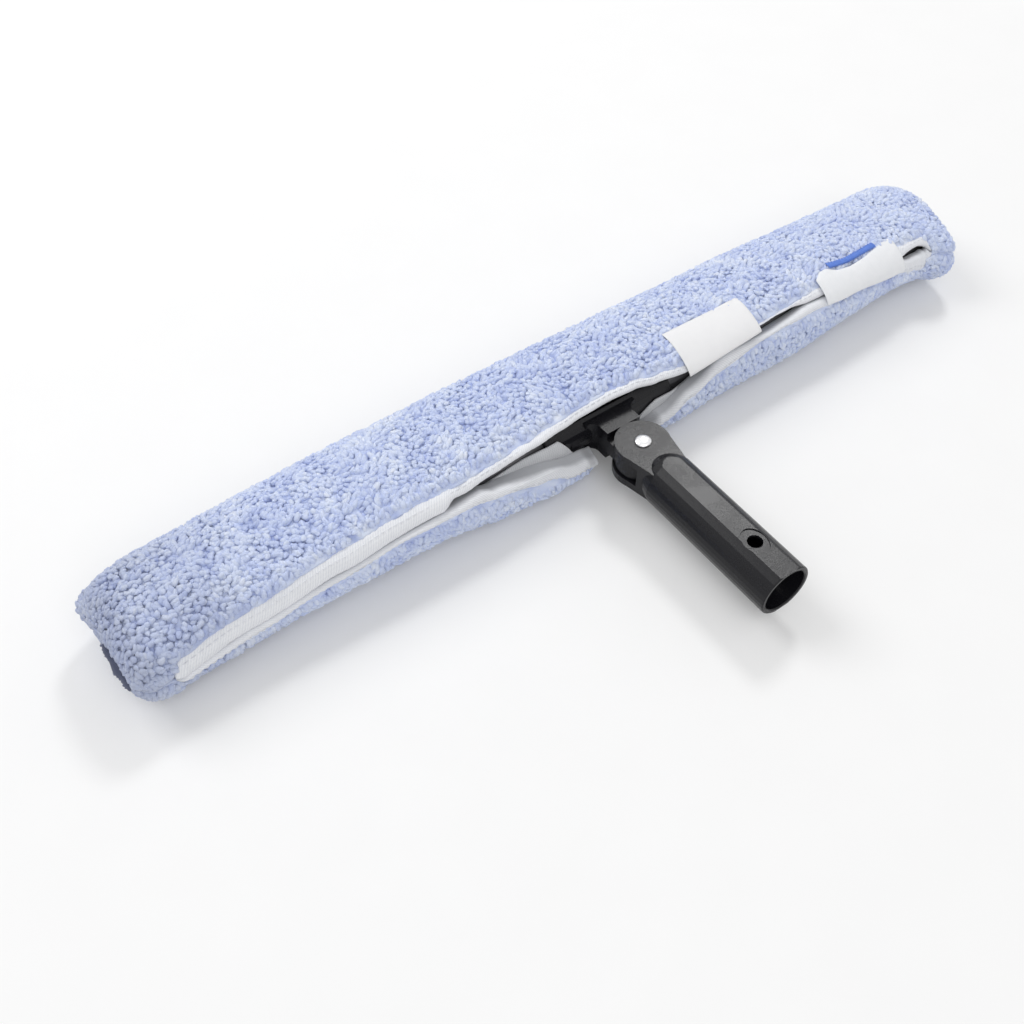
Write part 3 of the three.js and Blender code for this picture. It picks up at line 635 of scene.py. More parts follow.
@dataclass(frozen=True)
class Metal:
    """Metal with lines left by drawing or turning.

    Attributes:
        name: the finish's name.
        colour: the metal's colour.
        worn: its colour in its lines and dull spots.
        roughness: how matt it is.
        lines: how the lines' noise is stretched, as x, y, z.
        metallic: 1 for bare metal.
    """

    name: str
    colour: Colour
    worn: Colour
    roughness: float
    lines: tuple[float, float, float] = (1.0, 1.0, 1.0)
    metallic: float = 1.0

    def material(self) -> bpy.types.Material:
        """The metal's material.

        Returns:
            The material.
        """
        tree = Tree(bpy.data.materials.new(self.name))
        place = tree.place()
        drawn = tree.noise(tree.stretched(place, self.lines), 1800.0, 3.0, 0.65)
        dull = tree.noise(place, 160.0, 3.0)
        colour = tree.mixed(tree.held(drawn * 0.5 + dull * 0.5), self.worn, self.colour)
        roughness = drawn * 0.16 + dull * 0.12 + (self.roughness - 0.12)
        sockets = {"Base Color": colour, "Roughness": roughness, "Metallic": self.metallic}
        return tree.finish(sockets, drawn, 0.00003)


# ---- The form of the sleeve ----------------------------------------------------------------


@dataclass(frozen=True)
class Row:
    """Stations along the sleeve, from the valley of one sewn end to that of the other.

    Attributes:
        x: each station's place along the bar.
        depth: its share of the section's depth.
        height: its share of the section's height.
    """

    x: Array
    depth: Array
    height: Array


@dataclass(frozen=True)
class SleeveForm:
    """Layers of cloth round the bar. A point is a place along it, an angle and a height.

    Angles are in degrees: 0 at the handle's side, 90 on top. Heights are above the bar. A
    table's first row has places, as shares of half the length, and the next rows its values.

    Attributes:
        half_length, half_depth, half_height: half the sleeve's length and half the bar.
        mid_height: how high the bar's middle lies over the floor.
        reach, pile_inner: how high the pile's tips and its inside lie.
        backing_end: where the ground cloth ends.
        saddle_half, saddle_angle, saddle_rise, lift_fade: the hub's saddle under the cloth.
        squareness, flattening: the section's power, and how much fuller it is below.
        pivot_y, handle_radius, handle_reach, handle_fade, pressing: the handle's path, and what
            share of it the cloth leaves free.
        end_rounding, end_valley: the runs in which the sewn ends roll in and over.
        end_roll: shares of the section's depth there, by the turn in degrees.
        fullnesses: how full the pile is along the bar.
        upper_edge, lower_edge: the slit's edges, in quarter turns.
        slit_closing: the stretch in which the slit draws shut at its ends.
        thinnings: how much the pile is pressed along the bar, in front and behind.
        front_band, back_band: the middle angle and half width of what is pressed.
        left_reach, left_bulge, end_tuck: how far out the left end lies, its middle height
            behind, and how far its lower lobe is tucked in.
        right_reach, right_front, right_tuck, right_flare: the same for the right end, its front,
            the middle of its front, and how far that front flares.
        low_run, level_run, front_run, front_start, behind_start, behind_run: over what
            distances, and from where, these come in.
        end_bend, pull_run: how far both ends bend to the handle's side, over what stretch.
        skin: the height over the pile's inside from which its ends are pulled.
        droop, droop_fall, droop_middle, droop_half, lip_band: how far the lower lip hangs away,
            its fall as a share of that, and where.
        end_rows, middle_rows: how finely the rows are worked out.
    """

    half_length: float = 235 * MM
    half_depth: float = 22 * MM
    half_height: float = 10 * MM
    mid_height: float = 21.6 * MM
    reach: float = 11.6 * MM
    pile_inner: float = 1.9 * MM
    backing_end: float = 228.4 * MM
    saddle_half: float = 36.3 * MM
    saddle_angle: float = 39.8
    saddle_rise: float = 3.2 * MM
    lift_fade: float = 12 * MM
    squareness: float = 2.4
    flattening: float = 0.2
    pivot_y: float = -47.2 * MM
    handle_radius: float = 13.4 * MM
    handle_reach: float = 105 * MM
    handle_fade: float = 6 * MM
    pressing: float = 0.85
    end_rounding: float = 16 * MM
    end_valley: float = 4 * MM
    end_roll: Table = (
        (-68, -34, 0, 30, 60, 90),
        (0.67, 0.7, 0.78, 0.9, 0.98, 1.0))
    fullnesses: Table = (
        (-1, -0.84, -0.7, -0.56, -0.4, -0.25, 0.17, 0.3, 0.46, 0.6, 0.74, 0.86, 1),
        (0.78, 0.78, 0.84, 0.94, 0.97, 1, 1, 0.9, 0.95, 0.82, 0.68, 0.62, 0.58))
    upper_edge: Table = (
        (-0.95, -0.8, -0.63, -0.5, -0.36, -0.29, -0.19, -0.12, -0.07, 0, 0.06, 0.11, 0.18, 0.26,
         0.39, 0.44, 0.51, 0.64, 0.78, 0.84, 0.89, 0.915),
        (0.19, 0.31, 0.43, 0.48, 0.48, 0.5, 0.54, 0.58, 0.61, 0.62, 0.6, 0.54, 0.48, 0.48, 0.48,
         0.5, 0.53, 0.56, 0.52, 0.5, 0.5, 0.44))
    lower_edge: Table = (
        (-0.95, -0.8, -0.63, -0.5, -0.36, -0.29, -0.19, -0.088, -0.054, -0.042, 0, 0.06, 0.11,
         0.18, 0.26, 0.39, 0.44, 0.51, 0.64, 0.78, 0.84, 0.89, 0.915),
        (-0.2, -0.05, 0.08, 0.16, 0.13, 0.08, -0.03, -0.17, -0.28, -0.74, -0.85, -0.74, -0.18, 0,
         0.13, 0.26, 0.28, 0.28, 0.22, 0.12, 0.0, -0.1, -0.06))
    slit_closing: float = 4.5 * MM
    thinnings: Table = (
        (-1, -0.85, -0.72, -0.55, -0.4, -0.3, 0.5, 0.66, 0.8, 0.87, 0.95),
        (0, 0.05, 0.35, 0.4, 0.36, 0, 0, 0.25, 0.4, 0.1, 0),
        (0.3, 0.22, 0.05, 0, 0, 0, 0.15, 0.15, 0.15, 0.15, 0.1))
    front_band: tuple[float, float] = (-35.0, 52.0)
    back_band: tuple[float, float] = (140.0, 75.0)
    left_reach: float = 3.5 * MM
    left_bulge: float = 2.6 * MM
    right_reach: float = -3.0 * MM
    end_tuck: float = 1.4 * MM
    right_front: float = 7.5 * MM
    right_tuck: float = 2.5 * MM
    end_bend: float = 3.5 * MM
    right_flare: float = 6.0 * MM
    low_run: float = 9 * MM
    level_run: float = 12 * MM
    front_run: float = 26 * MM
    front_start: float = 0.3
    behind_start: float = -6 * MM
    behind_run: float = 14 * MM
    pull_run: float = 34 * MM
    skin: float = 4.0 * MM
    droop: float = 3.5 * MM
    droop_fall: float = 0.6
    droop_middle: float = -40 * MM
    droop_half: float = 48 * MM
    lip_band: tuple[float, float] = (-15.0, 45.0)
    end_rows: int = 80
    middle_rows: int = 400

    @property
    def slit_ends(self) -> tuple[float, float]:
        """Where the slit starts and ends along the bar."""
        places = self.upper_edge[0]
        return places[0] * self.half_length, places[-1] * self.half_length

    def fullness(self, x: Array) -> Array:
        """How full the pile is at places along the bar, on straight lines through a table."""
        return np.interp(x / self.half_length, *self.fullnesses)

    def edge(self, table: Table, x: Array) -> Array:
        """A slit edge's angle: a table of quarter turns joined by smoothstep, in degrees.

        Args:
            table: the table.
            x: places along the bar.

        Returns:
            The angles.
        """
        places, turns = np.array(table)
        t = x / self.half_length
        cell = np.clip(np.searchsorted(places, t) - 1, 0, len(places) - 2)
        eased = smoothstep((t - places[cell]) / (places[cell + 1] - places[cell]))
        return 90.0 * (turns[cell] + (turns[cell + 1] - turns[cell]) * eased)

    def edges(self, x: Array) -> tuple[Array, Array]:
        """The slit's lower and upper edge angles, drawn together at the slit's ends.

        Args:
            x: places along the bar.

        Returns:
            The lower and the upper angles.
        """
        start, end = self.slit_ends
        lower, upper = self.edge(self.lower_edge, x), self.edge(self.upper_edge, x)
        opened = smoothstep((x - start) / self.slit_closing)
        opened = opened * smoothstep((end - x) / self.slit_closing)
        middle, half = (lower + upper) / 2, (upper - lower) / 2 * opened
        return middle - half, middle + half

    def lift(self, x: Array, degrees: Array) -> Array:
        """How far the cloth rises where it rides over the hub's saddle.

        The rise is the saddle's, times a straight fade past its ends, times 1 less the square of
        the share by which the angle is past its edge.

        Args:
            x: places along the bar.
            degrees: angles.

        Returns:
            The rise.
        """
        beyond = np.maximum(0.0, np.abs(x) - self.saddle_half) / self.lift_fade
        over = np.maximum(0.0, np.abs(wrapped(degrees)) - self.saddle_angle)
        past = over / self.saddle_angle
        rise = self.saddle_rise * np.maximum(0.0, 1.0 - beyond)
        return rise * np.maximum(0.0, 1.0 - past * past)

    def point(self, x: Array, degrees: Array, height: Array, depth: Array | float = 1.0,
              tall: Array | float = 1.0) -> Array:
        """A layer's points: a flattened superellipse, half depth and half height plus the height.

        y is the signed cosine to the power 2/squareness times the half depth, z the signed sine
        to the same power times the half height, cut flat where the underside lies on the floor.

        Args:
            x: places along the bar.
            degrees: angles.
            height: heights above the bar.
            depth: shares of the section's depth, below 1 in the sewn ends.
            tall: shares of its height.

        Returns:
            Points, with x, y, z on the last axis.
        """
        x, degrees, height = np.broadcast_arrays(x, degrees, height)
        cos, sin = np.cos(np.radians(degrees)), np.sin(np.radians(degrees))
        in_pile = np.maximum(0.0, height - self.pile_inner)
        drawn = height - in_pile + in_pile * self.fullness(x) * self.thinned(x, degrees)
        low = np.clip(1.0 - height / self.reach, 0.0, 1.0)
        raised = drawn + self.lift(x, degrees) * low
        power = 2.0 / self.squareness
        across = np.sign(cos) * np.abs(cos) ** power
        upward = np.sign(sin) * np.abs(sin) ** power
        drop = np.where(sin < 0, 1.0 + self.flattening * np.clip(raised / self.reach, 0, 1), 1.0)
        y = -across * (self.half_depth + raised) * depth
        z = np.maximum(-1.0, upward * drop) * (self.half_height + raised) * tall
        outer = np.clip(in_pile / self.skin, 0.0, 1.0)
        sunk = self.droop * self.drooping(x, degrees) * np.clip(in_pile / self.reach, 0.0, 1.0)
        shift_x, shift_y = self.pulled(x, y, z)
        z = z - self.droop_fall * sunk
        pile = np.stack([x + outer * shift_x, y + outer * shift_y - sunk, z], axis=-1)
        return pile + np.array([0.0, 0.0, self.mid_height])

    def thinned(self, x: Array, degrees: Array) -> Array:
        """What is left of the pile's thickness where it is pressed: under the slit and behind.

        Args:
            x: places along the bar.
            degrees: angles.

        Returns:
            Shares of the thickness.
        """
        place = x / self.half_length
        front = hump(wrapped(degrees), *self.front_band)
        back = hump(degrees % 360.0, *self.back_band)
        places, in_front, behind = self.thinnings
        less = np.interp(place, places, in_front) * front
        return 1.0 - less - np.interp(place, places, behind) * back

    def drooping(self, x: Array, degrees: Array) -> Array:
        """How much the lower lip hangs away left of the hub: 1 at its middle, eased to 0.

        Args:
            x: places along the bar.
            degrees: angles.

        Returns:
            Shares from 0 to 1.
        """
        along = hump(x, self.droop_middle, self.droop_half)
        return along * hump(wrapped(degrees), *self.lip_band)

    def pulled(self, x: Array, y: Array, z: Array) -> tuple[Array, Array]:
        """How far the sewn ends are pulled out of line, eased in over the last stretch.

        The left end reaches further out, most at its middle height behind, with its lower lobe
        tucked in. The right one reaches less far, least at its front, which flares. Both bend
        towards the handle's side.

        Args:
            x: places along the bar.
            y: places across it.
            z: heights over its middle.

        Returns:
            The shifts of x and of y.
        """
        ended = smoothstep((np.abs(x) - self.half_length) / self.pull_run + 1.0)
        low = smoothstep(-z / self.low_run)
        level = smoothstep(np.abs(z) / self.level_run)
        behind = smoothstep((y - self.behind_start) / self.behind_run)
        left = self.left_reach - self.end_tuck * low + self.left_bulge * (1.0 - level) * behind
        front = smoothstep(self.front_start - y / self.front_run)
        right = self.right_reach - front * (self.right_front + self.right_tuck * (1.0 - level))
        flare = np.where(x > 0, self.right_flare * front, 0.0)
        along = np.sign(x) * ended * np.where(x < 0, left, right)
        return along, -(self.end_bend + flare) * ended**2

    def cleared(self, points: Array, margin: float = 0.2 * MM) -> Array:
        """Presses points back out of the handle's tube where it swings against the sleeve.

        There the tube's edge is the pivot's y plus the root of its radius squared less the
        height over its middle squared.

        Args:
            points: points of cloth.
            margin: how far they stay clear of it.

        Returns:
            The same points, with y held back within the handle's reach.
        """
        over = points[..., 2] - self.mid_height
        tube = np.sqrt(np.maximum(self.handle_radius**2 - over**2, 0.0))
        past = np.minimum(points[..., 1] - self.pivot_y - tube - margin, 0.0)
        near = smoothstep((self.handle_reach - np.abs(points[..., 0])) / self.handle_fade + 1.0)
        points[..., 1] -= self.pressing * past * near
        return points

    def rolled_in(self, turns: Array) -> tuple[Array, Array, Array]:
        """Where a sewn end lies as it rolls in, by turns from 90 degrees to past 0.

        x is the half length less a run times (1 - cosine), and the height's share is half of
        1 + sine.

        Args:
            turns: the turns, in degrees.

        Returns:
            The places out along the bar, and the section's shares of height and of depth.
        """
        radians = np.radians(turns)
        run = np.where(turns > 0, self.end_rounding, self.end_valley)
        out = self.half_length - run * (1 - np.cos(radians))
        return out, (1 + np.sin(radians)) / 2, np.interp(turns, *self.end_roll)

    def rows(self, count: int) -> Row:
        """Evenly spaced stations over the whole sleeve, rolled in at both sewn ends.

        Args:
            count: how many stations.

        Returns:
            The stations.
        """
        turns = np.linspace(self.end_roll[0][0], 90.0, self.end_rows)
        out, tall, deep = self.rolled_in(turns)
        middle = np.linspace(-out[-1], out[-1], self.middle_rows)[1:-1]
        ones = np.ones_like(middle)
        x = np.concatenate([-out, middle, out[::-1]])
        depth = np.concatenate([deep, ones, deep[::-1]])
        height = np.concatenate([tall, ones, tall[::-1]])
        rise = height * (self.half_height + self.reach * self.fullness(x))
        length = np.concatenate([[0], np.cumsum(np.hypot(np.diff(x), np.diff(rise)))])
        even = np.linspace(0, length[-1], count)
        return Row(*(np.interp(even, length, part) for part in (x, depth, height)))

    def around(self) -> tuple[Array, Array]:
        """A table of the length round the tips' section, at every half degree.

        Returns:
            The angles from -360 to 360 degrees, and the length to each.
        """
        degrees = np.linspace(-360.0, 360.0, 1441)
        loop = self.point(np.zeros_like(degrees), degrees, np.full_like(degrees, self.reach))
        return degrees, run_lengths(loop)

    def across(self, length: float) -> float:
        """A length over the sleeve's surface as degrees round its section."""
        degrees, lengths = self.around()
        return 720.0 * length / float(lengths[-1])

    def spaced(self, start: Array, end: Array, shares: Array) -> Array:
        """Angles spaced evenly by length between two angles.

        Args:
            start: the first angles.
            end: the last angles.
            shares: from 0 to 1, on a new last axis.

        Returns:
            The angles in between.
        """
        degrees, lengths = self.around()
        first, last = np.interp(start, degrees, lengths), np.interp(end, degrees, lengths)
        return np.interp(first[..., None] + (last - first)[..., None] * shares, lengths, degrees)


# ---- The sleeve's pieces -------------------------------------------------------------------


@dataclass
class Pile:
    """The plush: a clumped coat round the bar and thousands of leaning locks on it.

    Attributes:
        form: the sleeve's form.
        stations: how many rows the coat has.
        outer, inner, lip: how many points its section has outside, inside and round each lip.
        sunk: how far the coat lies below the tips.
        clump: how much its surface goes up and down.
        spacing: the locks' distance apart.
        per_piece: how many locks one piece holds at most.
        lock_rise, lock_lean, lock_width: a lock's height, lean and width.
        lock_margin: how far the locks keep off the slit's edges.
        parting: within what distance of the slit they lean away from it.
        root_depth: how far their roots lie below the coat's surface.
        surface: the length over the whole sleeve and both its ends.
        valley, underside: the share of height above which locks grow at the ends, and the angles
            between which the sleeve lies on the floor without any.
        core_half: how far out the line runs that the locks point away from.
        swirl_turns, swirl_pitch, swirl_spread: how their lean turns from place to place.
        lip_bulge, lip_angle: how round the slit's lips are, and the opening they need for it.
        patches, swells: how wide its patches of tone are, and its clumps.
        end_shade_start, end_shade_run: where its painted shade starts leftwards, and its stretch.
        rim_shade_start, rim_shade_run: the same for the end's rim.
        noise: what turns, tones and clumps it.
    """

    form: SleeveForm
    stations: int = 400
    outer: int = 150
    inner: int = 36
    lip: int = 6
    sunk: float = 1.15 * MM
    clump: float = 1.0 * MM
    spacing: float = 2.0 * MM
    per_piece: int = 4600
    lock_rise: float = 2.5 * MM
    lock_lean: float = 3.3 * MM
    lock_width: float = 2.9 * MM
    lock_margin: float = 1.5 * MM
    parting: float = 8.0 * MM
    root_depth: float = 0.9 * MM
    surface: float = 540 * MM
    valley: float = 0.16
    underside: tuple[float, float] = (-120, -60)
    core_half: float = 215 * MM
    swirl_turns: float = 1.3
    swirl_pitch: float = 11 * MM
    swirl_spread: float = 0.7
    lip_bulge: float = 0.9 * MM
    lip_angle: float = 10.0
    patches: tuple[float, float] = (4 * MM, 12 * MM)
    swells: tuple[float, float] = (5 * MM, 2.3 * MM)
    end_shade_start: float = 150 * MM
    end_shade_run: float = 80 * MM
    rim_shade_start: float = 226 * MM
    rim_shade_run: float = 10 * MM
    noise: LatticeNoise = field(default_factory=lambda: LatticeNoise(11))

    def tone(self, points: Array) -> Array:
        """The fleck's lightness, from small and wide patches.

        Args:
            points: places on the pile.

        Returns:
            The lightness, from 0 to 1.
        """
        fine, broad = (self.noise.at(points + i, pitch) for i, pitch in enumerate(self.patches))
        return np.clip(0.5 + 0.9 * (fine - 0.5) + 0.6 * (broad - 0.5), 0.0, 1.0)

    def soil(self, points: Array) -> Array:
        """Painted shade: the pile greyed in patches towards the left end, and most on its rim.

        Args:
            points: places on the pile.

        Returns:
            How grey it is, from 0 to 1.4.
        """
        # Painted shade: the left end greys in patches over its last stretch, more on its rim.
        ended = smoothstep((-points[..., 0] - self.end_shade_start) / self.end_shade_run)
        rim = smoothstep((-points[..., 0] - self.rim_shade_start) / self.rim_shade_run)
        patches = np.clip(0.25 + 0.8 * self.noise.at(points + 2.0, 20 * MM), 0.0, 1.0)
        return np.clip(ended * patches + 0.7 * rim, 0.0, 1.4)

    def coat(self) -> Shape:
        """The coat: one closed section carried over every row, from slit edge to slit edge.

        The outside follows the form at the tips' height less a sunk depth, with lattice noise
        added. Each lip is half a wave from the outer to the inner height.

        Returns:
            The coat.
        """
        form, row = self.form, self.form.rows(self.stations)
        x = row.x[:, None]
        lower, upper = form.edges(row.x)
        outside = form.spaced(lower, upper - 360.0, np.linspace(0, 1, self.outer))
        inside = form.spaced(upper - 360.0, lower, np.linspace(0, 1, self.inner))
        share = (np.arange(self.lip) + 1.0) / (self.lip + 1.0)
        bulge = form.across(self.lip_bulge) * np.sin(np.pi * share)
        opened = np.clip((upper - lower)[:, None] / self.lip_angle, 0.0, 1.0)
        far_lip = (upper - 360.0)[:, None] - bulge * opened
        near_lip = lower[:, None] + bulge[::-1] * opened
        degrees = np.concatenate([outside, far_lip, inside, near_lip], axis=1)
        inward = np.concatenate([np.zeros(self.outer), share, np.ones(self.inner), share[::-1]])
        at_end = np.zeros(self.stations)
        at_end[[0, -1]] = 1.0
        inward = np.broadcast_to(inward, degrees.shape) * (1.0 - at_end)[:, None]
        held_x = np.clip(x, -form.backing_end, form.backing_end)
        places = x + (held_x - x) * inward
        deep = row.depth[:, None] + (1.0 - row.depth[:, None]) * inward
        tall = row.height[:, None] + (1.0 - row.height[:, None]) * inward
        tips = form.reach - self.sunk
        height = tips + (form.pile_inner - tips) * inward
        smooth = form.point(places, degrees, height, deep, tall)
        broad, fine = (self.noise.at(smooth, pitch) - 0.5 for pitch in self.swells)
        swell = broad * 1.3 + fine
        height = height + self.clump * swell * (1.0 - inward) * (row.height[:, None] > 0.3)
        points = form.point(places, degrees, height, deep, tall)
        points[..., 2] = np.maximum(points[..., 2], FLOOR_GAP)
        points = form.cleared(points)
        values = {"tone": self.tone(points), "tip": 0.55 + 0.3 * swell * (1.0 - inward),
                  "soil": self.soil(points)}
        return lofted(points, values=values)

    def locks(self) -> list[Shape]:
        """The locks: bent tapering tufts on a jittered grid, parted along the slit.

        A lock's centre line is its root + t rise + t squared lean + sin(pi t) curl; its radius
        falls as (1 - t) to the power 0.7. Neighbours lean alike, as lattice noise turns them.

        Returns:
            Shapes of at most so many locks each.
        """
        form, rng = self.form, np.random.default_rng(7)
        girth = float(form.around()[1][-1]) / 2
        count = int(self.surface / self.spacing)
        across = int(girth / self.spacing)
        row = form.rows(count)
        share = (np.arange(across) + 0.5) / across
        along = np.arange(count)[:, None] + rng.uniform(-0.5, 0.5, (count, across))
        shift = share + rng.uniform(-0.5, 0.5, (count, across)) / across
        x = np.interp(along, np.arange(count), row.x)
        deep = np.interp(along, np.arange(count), row.depth)
        tall = np.interp(along, np.arange(count), row.height)
        start = np.zeros_like(x)
        degrees = form.spaced(start, start + 360.0, shift[..., None])[..., 0]
        degrees = (degrees + 90.0) % 360.0 - 90.0
        lower, upper = form.edges(x)
        margin = form.across(self.lock_margin)
        kept = (degrees < lower - margin) | (degrees > upper + margin)
        lying = (degrees >= self.underside[0]) & (degrees <= self.underside[1])
        kept &= (tall > self.valley) & (~lying | (tall < 0.98))
        x, degrees, deep, tall = (part[kept] for part in (x, degrees, deep, tall))
        lower, upper = lower[kept], upper[kept]
        base = form.reach - self.sunk - self.root_depth
        root = form.point(x, degrees, np.full_like(x, base), deep, tall)
        over = form.point(x, degrees + 1.0, np.full_like(x, base), deep, tall)
        nearer = self.rolled(x, deep, tall, degrees, base)
        normal = unit(np.cross(over - root, nearer - root))
        core = np.clip(x, -self.core_half, self.core_half)
        centre = np.stack([core, 0 * x, 0 * x + form.mid_height], axis=-1)
        facing = np.sign(np.sum(normal * (root - centre), axis=-1, keepdims=True))
        normal = normal * np.where(facing == 0, 1.0, facing)
        side = unit(np.cross(normal, np.array([1.0, 0.05, 0.02])))
        other = np.cross(normal, side)
        swirl = FULL_TURN * self.swirl_turns * self.noise.at(root, self.swirl_pitch)
        swirl = swirl + rng.normal(0, self.swirl_spread, len(x))
        lean = np.cos(swirl)[:, None] * other + np.sin(swirl)[:, None] * side
        away = np.where(degrees > upper, 1.0, -1.0)
        past = np.where(degrees > upper, degrees - upper, lower - degrees) - margin
        parted = smoothstep(1.0 - past / form.across(self.parting))[:, None]
        lean = unit(lean + 2.0 * parted * away[:, None] * unit(over - root))
        size = rng.uniform(0.8, 1.15, (len(x), 1))
        rise = normal * self.lock_rise * size * form.fullness(x)[:, None] ** 0.5
        rise = rise * (1.0 - 0.25 * parted)
        bend = lean * self.lock_lean * rng.uniform(0.6, 1.15, (len(x), 1))
        curl = np.cross(normal, lean) * rng.normal(0, 0.5 * MM, (len(x), 1))
        tone = 0.6 * self.tone(root) + 0.4 * rng.random(len(x))
        order = np.argsort(x, kind="stable")
        pieces = np.array_split(order, math.ceil(len(order) / self.per_piece))
        LOG.info("%d locks in %d pieces", len(order), len(pieces))
        return [self.tufts(root[i], rise[i], bend[i], curl[i], size[i], tone[i]) for i in pieces]

    def rolled(self, x: Array, deep: Array, tall: Array, degrees: Array, base: float) -> Array:
        """Points a little further along the sleeve, or further over its rolled end.

        Args:
            x: places along the bar.
            deep: shares of the section's depth.
            tall: shares of its height.
            degrees: angles.
            base: their height above the bar.

        Returns:
            The points.
        """
        turn = np.degrees(np.arcsin(np.clip(2 * tall - 1, -1, 1)))
        out, height, depth = self.form.rolled_in(turn - 3.0)
        ended = tall < 0.999
        at = np.where(ended, np.sign(x) * out, x + 0.5 * MM)
        depth, height = np.where(ended, depth, deep), np.where(ended, height, tall)
        return self.form.point(at, degrees, np.full_like(x, base), depth, height)

    def tufts(self, root: Array, rise: Array, bend: Array, curl: Array, size: Array,
              tone: Array) -> Shape:
        """Locks from their roots and bends, five-sided with four rings and a blunt tip.

        The rings stand square to the centre line, and their radii swell and then close in.

        Args:
            root: where each starts.
            rise: its way up.
            bend: its lean.
            curl: its sideways bow.
            size: its share of the usual width.
            tone: its lightness.

        Returns:
            One shape of all of them.
        """
        count, sides = len(root), 5
        stops = np.array([0.0, 0.35, 0.7, 0.93, 1.0])
        swell = np.array([0.75, 1.0, 0.9, 0.5])
        rings = len(swell)
        t = stops[None, :, None]
        line = root[:, None] + t * rise[:, None] + t**2 * bend[:, None]
        line = line + np.sin(np.pi * t) * curl[:, None]
        sideways = unit(np.cross(rise, bend))[:, None]
        outward = np.cross(unit(rise[:, None] + 2 * t[:, :-1] * bend[:, None]), sideways)
        turn = np.linspace(0, FULL_TURN, sides, endpoint=False)[:, None]
        ring = np.cos(turn) * sideways[:, :, None] + 0.85 * np.sin(turn) * outward[:, :, None]
        radius = self.lock_width / 2 * size[:, :, None, None] * swell[:, None, None]
        hoops = line[:, :-1, None] + radius * ring
        points = np.concatenate([hoops.reshape(count, -1, 3), line[:, -1:]], axis=1)
        points[..., 2] = np.maximum(points[..., 2], FLOOR_GAP)
        points = self.form.cleared(points)
        block = rings * sides + 1
        first = (np.arange(count) * block)[:, None, None]
        index = first + np.arange(rings * sides).reshape(rings, sides)
        last = index[:, -1]
        tip = np.broadcast_to(last[:, -1:] + 1, (count, sides))
        fans = np.stack([last, np.roll(last, -1, axis=1), tip], -1).reshape(-1, 3)
        faces = [skin(index), fans, fan(index[:, 0])[:, ::-1]]
        level = np.concatenate([np.repeat([0.1, 0.5, 0.8, 0.95], sides), [1.0]])
        values = {"tone": np.repeat(tone, block), "tip": np.tile(level, count),
                  "soil": np.repeat(self.soil(root), block)}
        return Shape(points.reshape(-1, 3), faces, values).turned_outward()

    def build(self, finish: bpy.types.Material) -> list[bpy.types.Object]:
        """Makes the coat and the locks.

        Args:
            finish: the plush's material.

        Returns:
            The coat first, then the locks.
        """
        coat = self.coat().made("pile_coat", finish)
        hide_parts("sleeve_pile")
        locks = [shape.made(f"pile_locks_{i + 1}", finish) for i, shape in enumerate(self.locks())]
        return [coat, *locks]


@dataclass
class Backing:
    """The woven ground cloth between the bar and the pile.

    Attributes:
        form: the sleeve's form.
        inner, outer: how high its two faces lie above the bar.
        stations, around: how many rows it has, and points a face in each.
        radius: the radius by which its angles become lengths of cloth.
        aprons: places in millimetres either side of the hub, and the angles up to which its
            lower part stands there.
    """

    form: SleeveForm
    inner: float = 0.4 * MM
    outer: float = 1.6 * MM
    stations: int = 400
    around: int = 110
    radius: float = 20 * MM
    aprons: Table = (
        (-80, -56, -40, -30, -25, -19, -12, 0, 12, 15, 18, 26, 36, 44, 56),
        (8, 20, 26, 27, 2, -26, -60, -60, -60, -26, -4, 8, 8, 6, 6))

    def build(self, finish: bpy.types.Material) -> bpy.types.Object:
        """Makes the cloth: two layers of the form from slit edge to slit edge, joined there.

        Either side of the hub its lower part stands up past the slit's edge, over the saddle.

        Args:
            finish: the cloth's material.

        Returns:
            The cloth.
        """
        form = self.form
        x = np.linspace(-form.backing_end, form.backing_end, self.stations)
        lower, upper = form.edges(x)
        places, tops = np.array(self.aprons)
        apron = np.interp(x, places * MM, tops)
        within = (x > places[0] * MM) & (x < places[-1] * MM)
        lower = np.where(within, np.maximum(lower, apron), lower)
        out = form.spaced(lower, upper - 360.0, np.linspace(0, 1, self.around))
        degrees = np.concatenate([out, out[:, ::-1]], axis=1)
        height = np.repeat([self.outer, self.inner], self.around)
        points = form.point(x[:, None], degrees, height)
        across = np.radians(degrees) * self.radius
        cloth = lofted(points, cloth_places(x, across)).made("ground_cloth", finish)
        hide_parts("sleeve_backing")
        return cloth


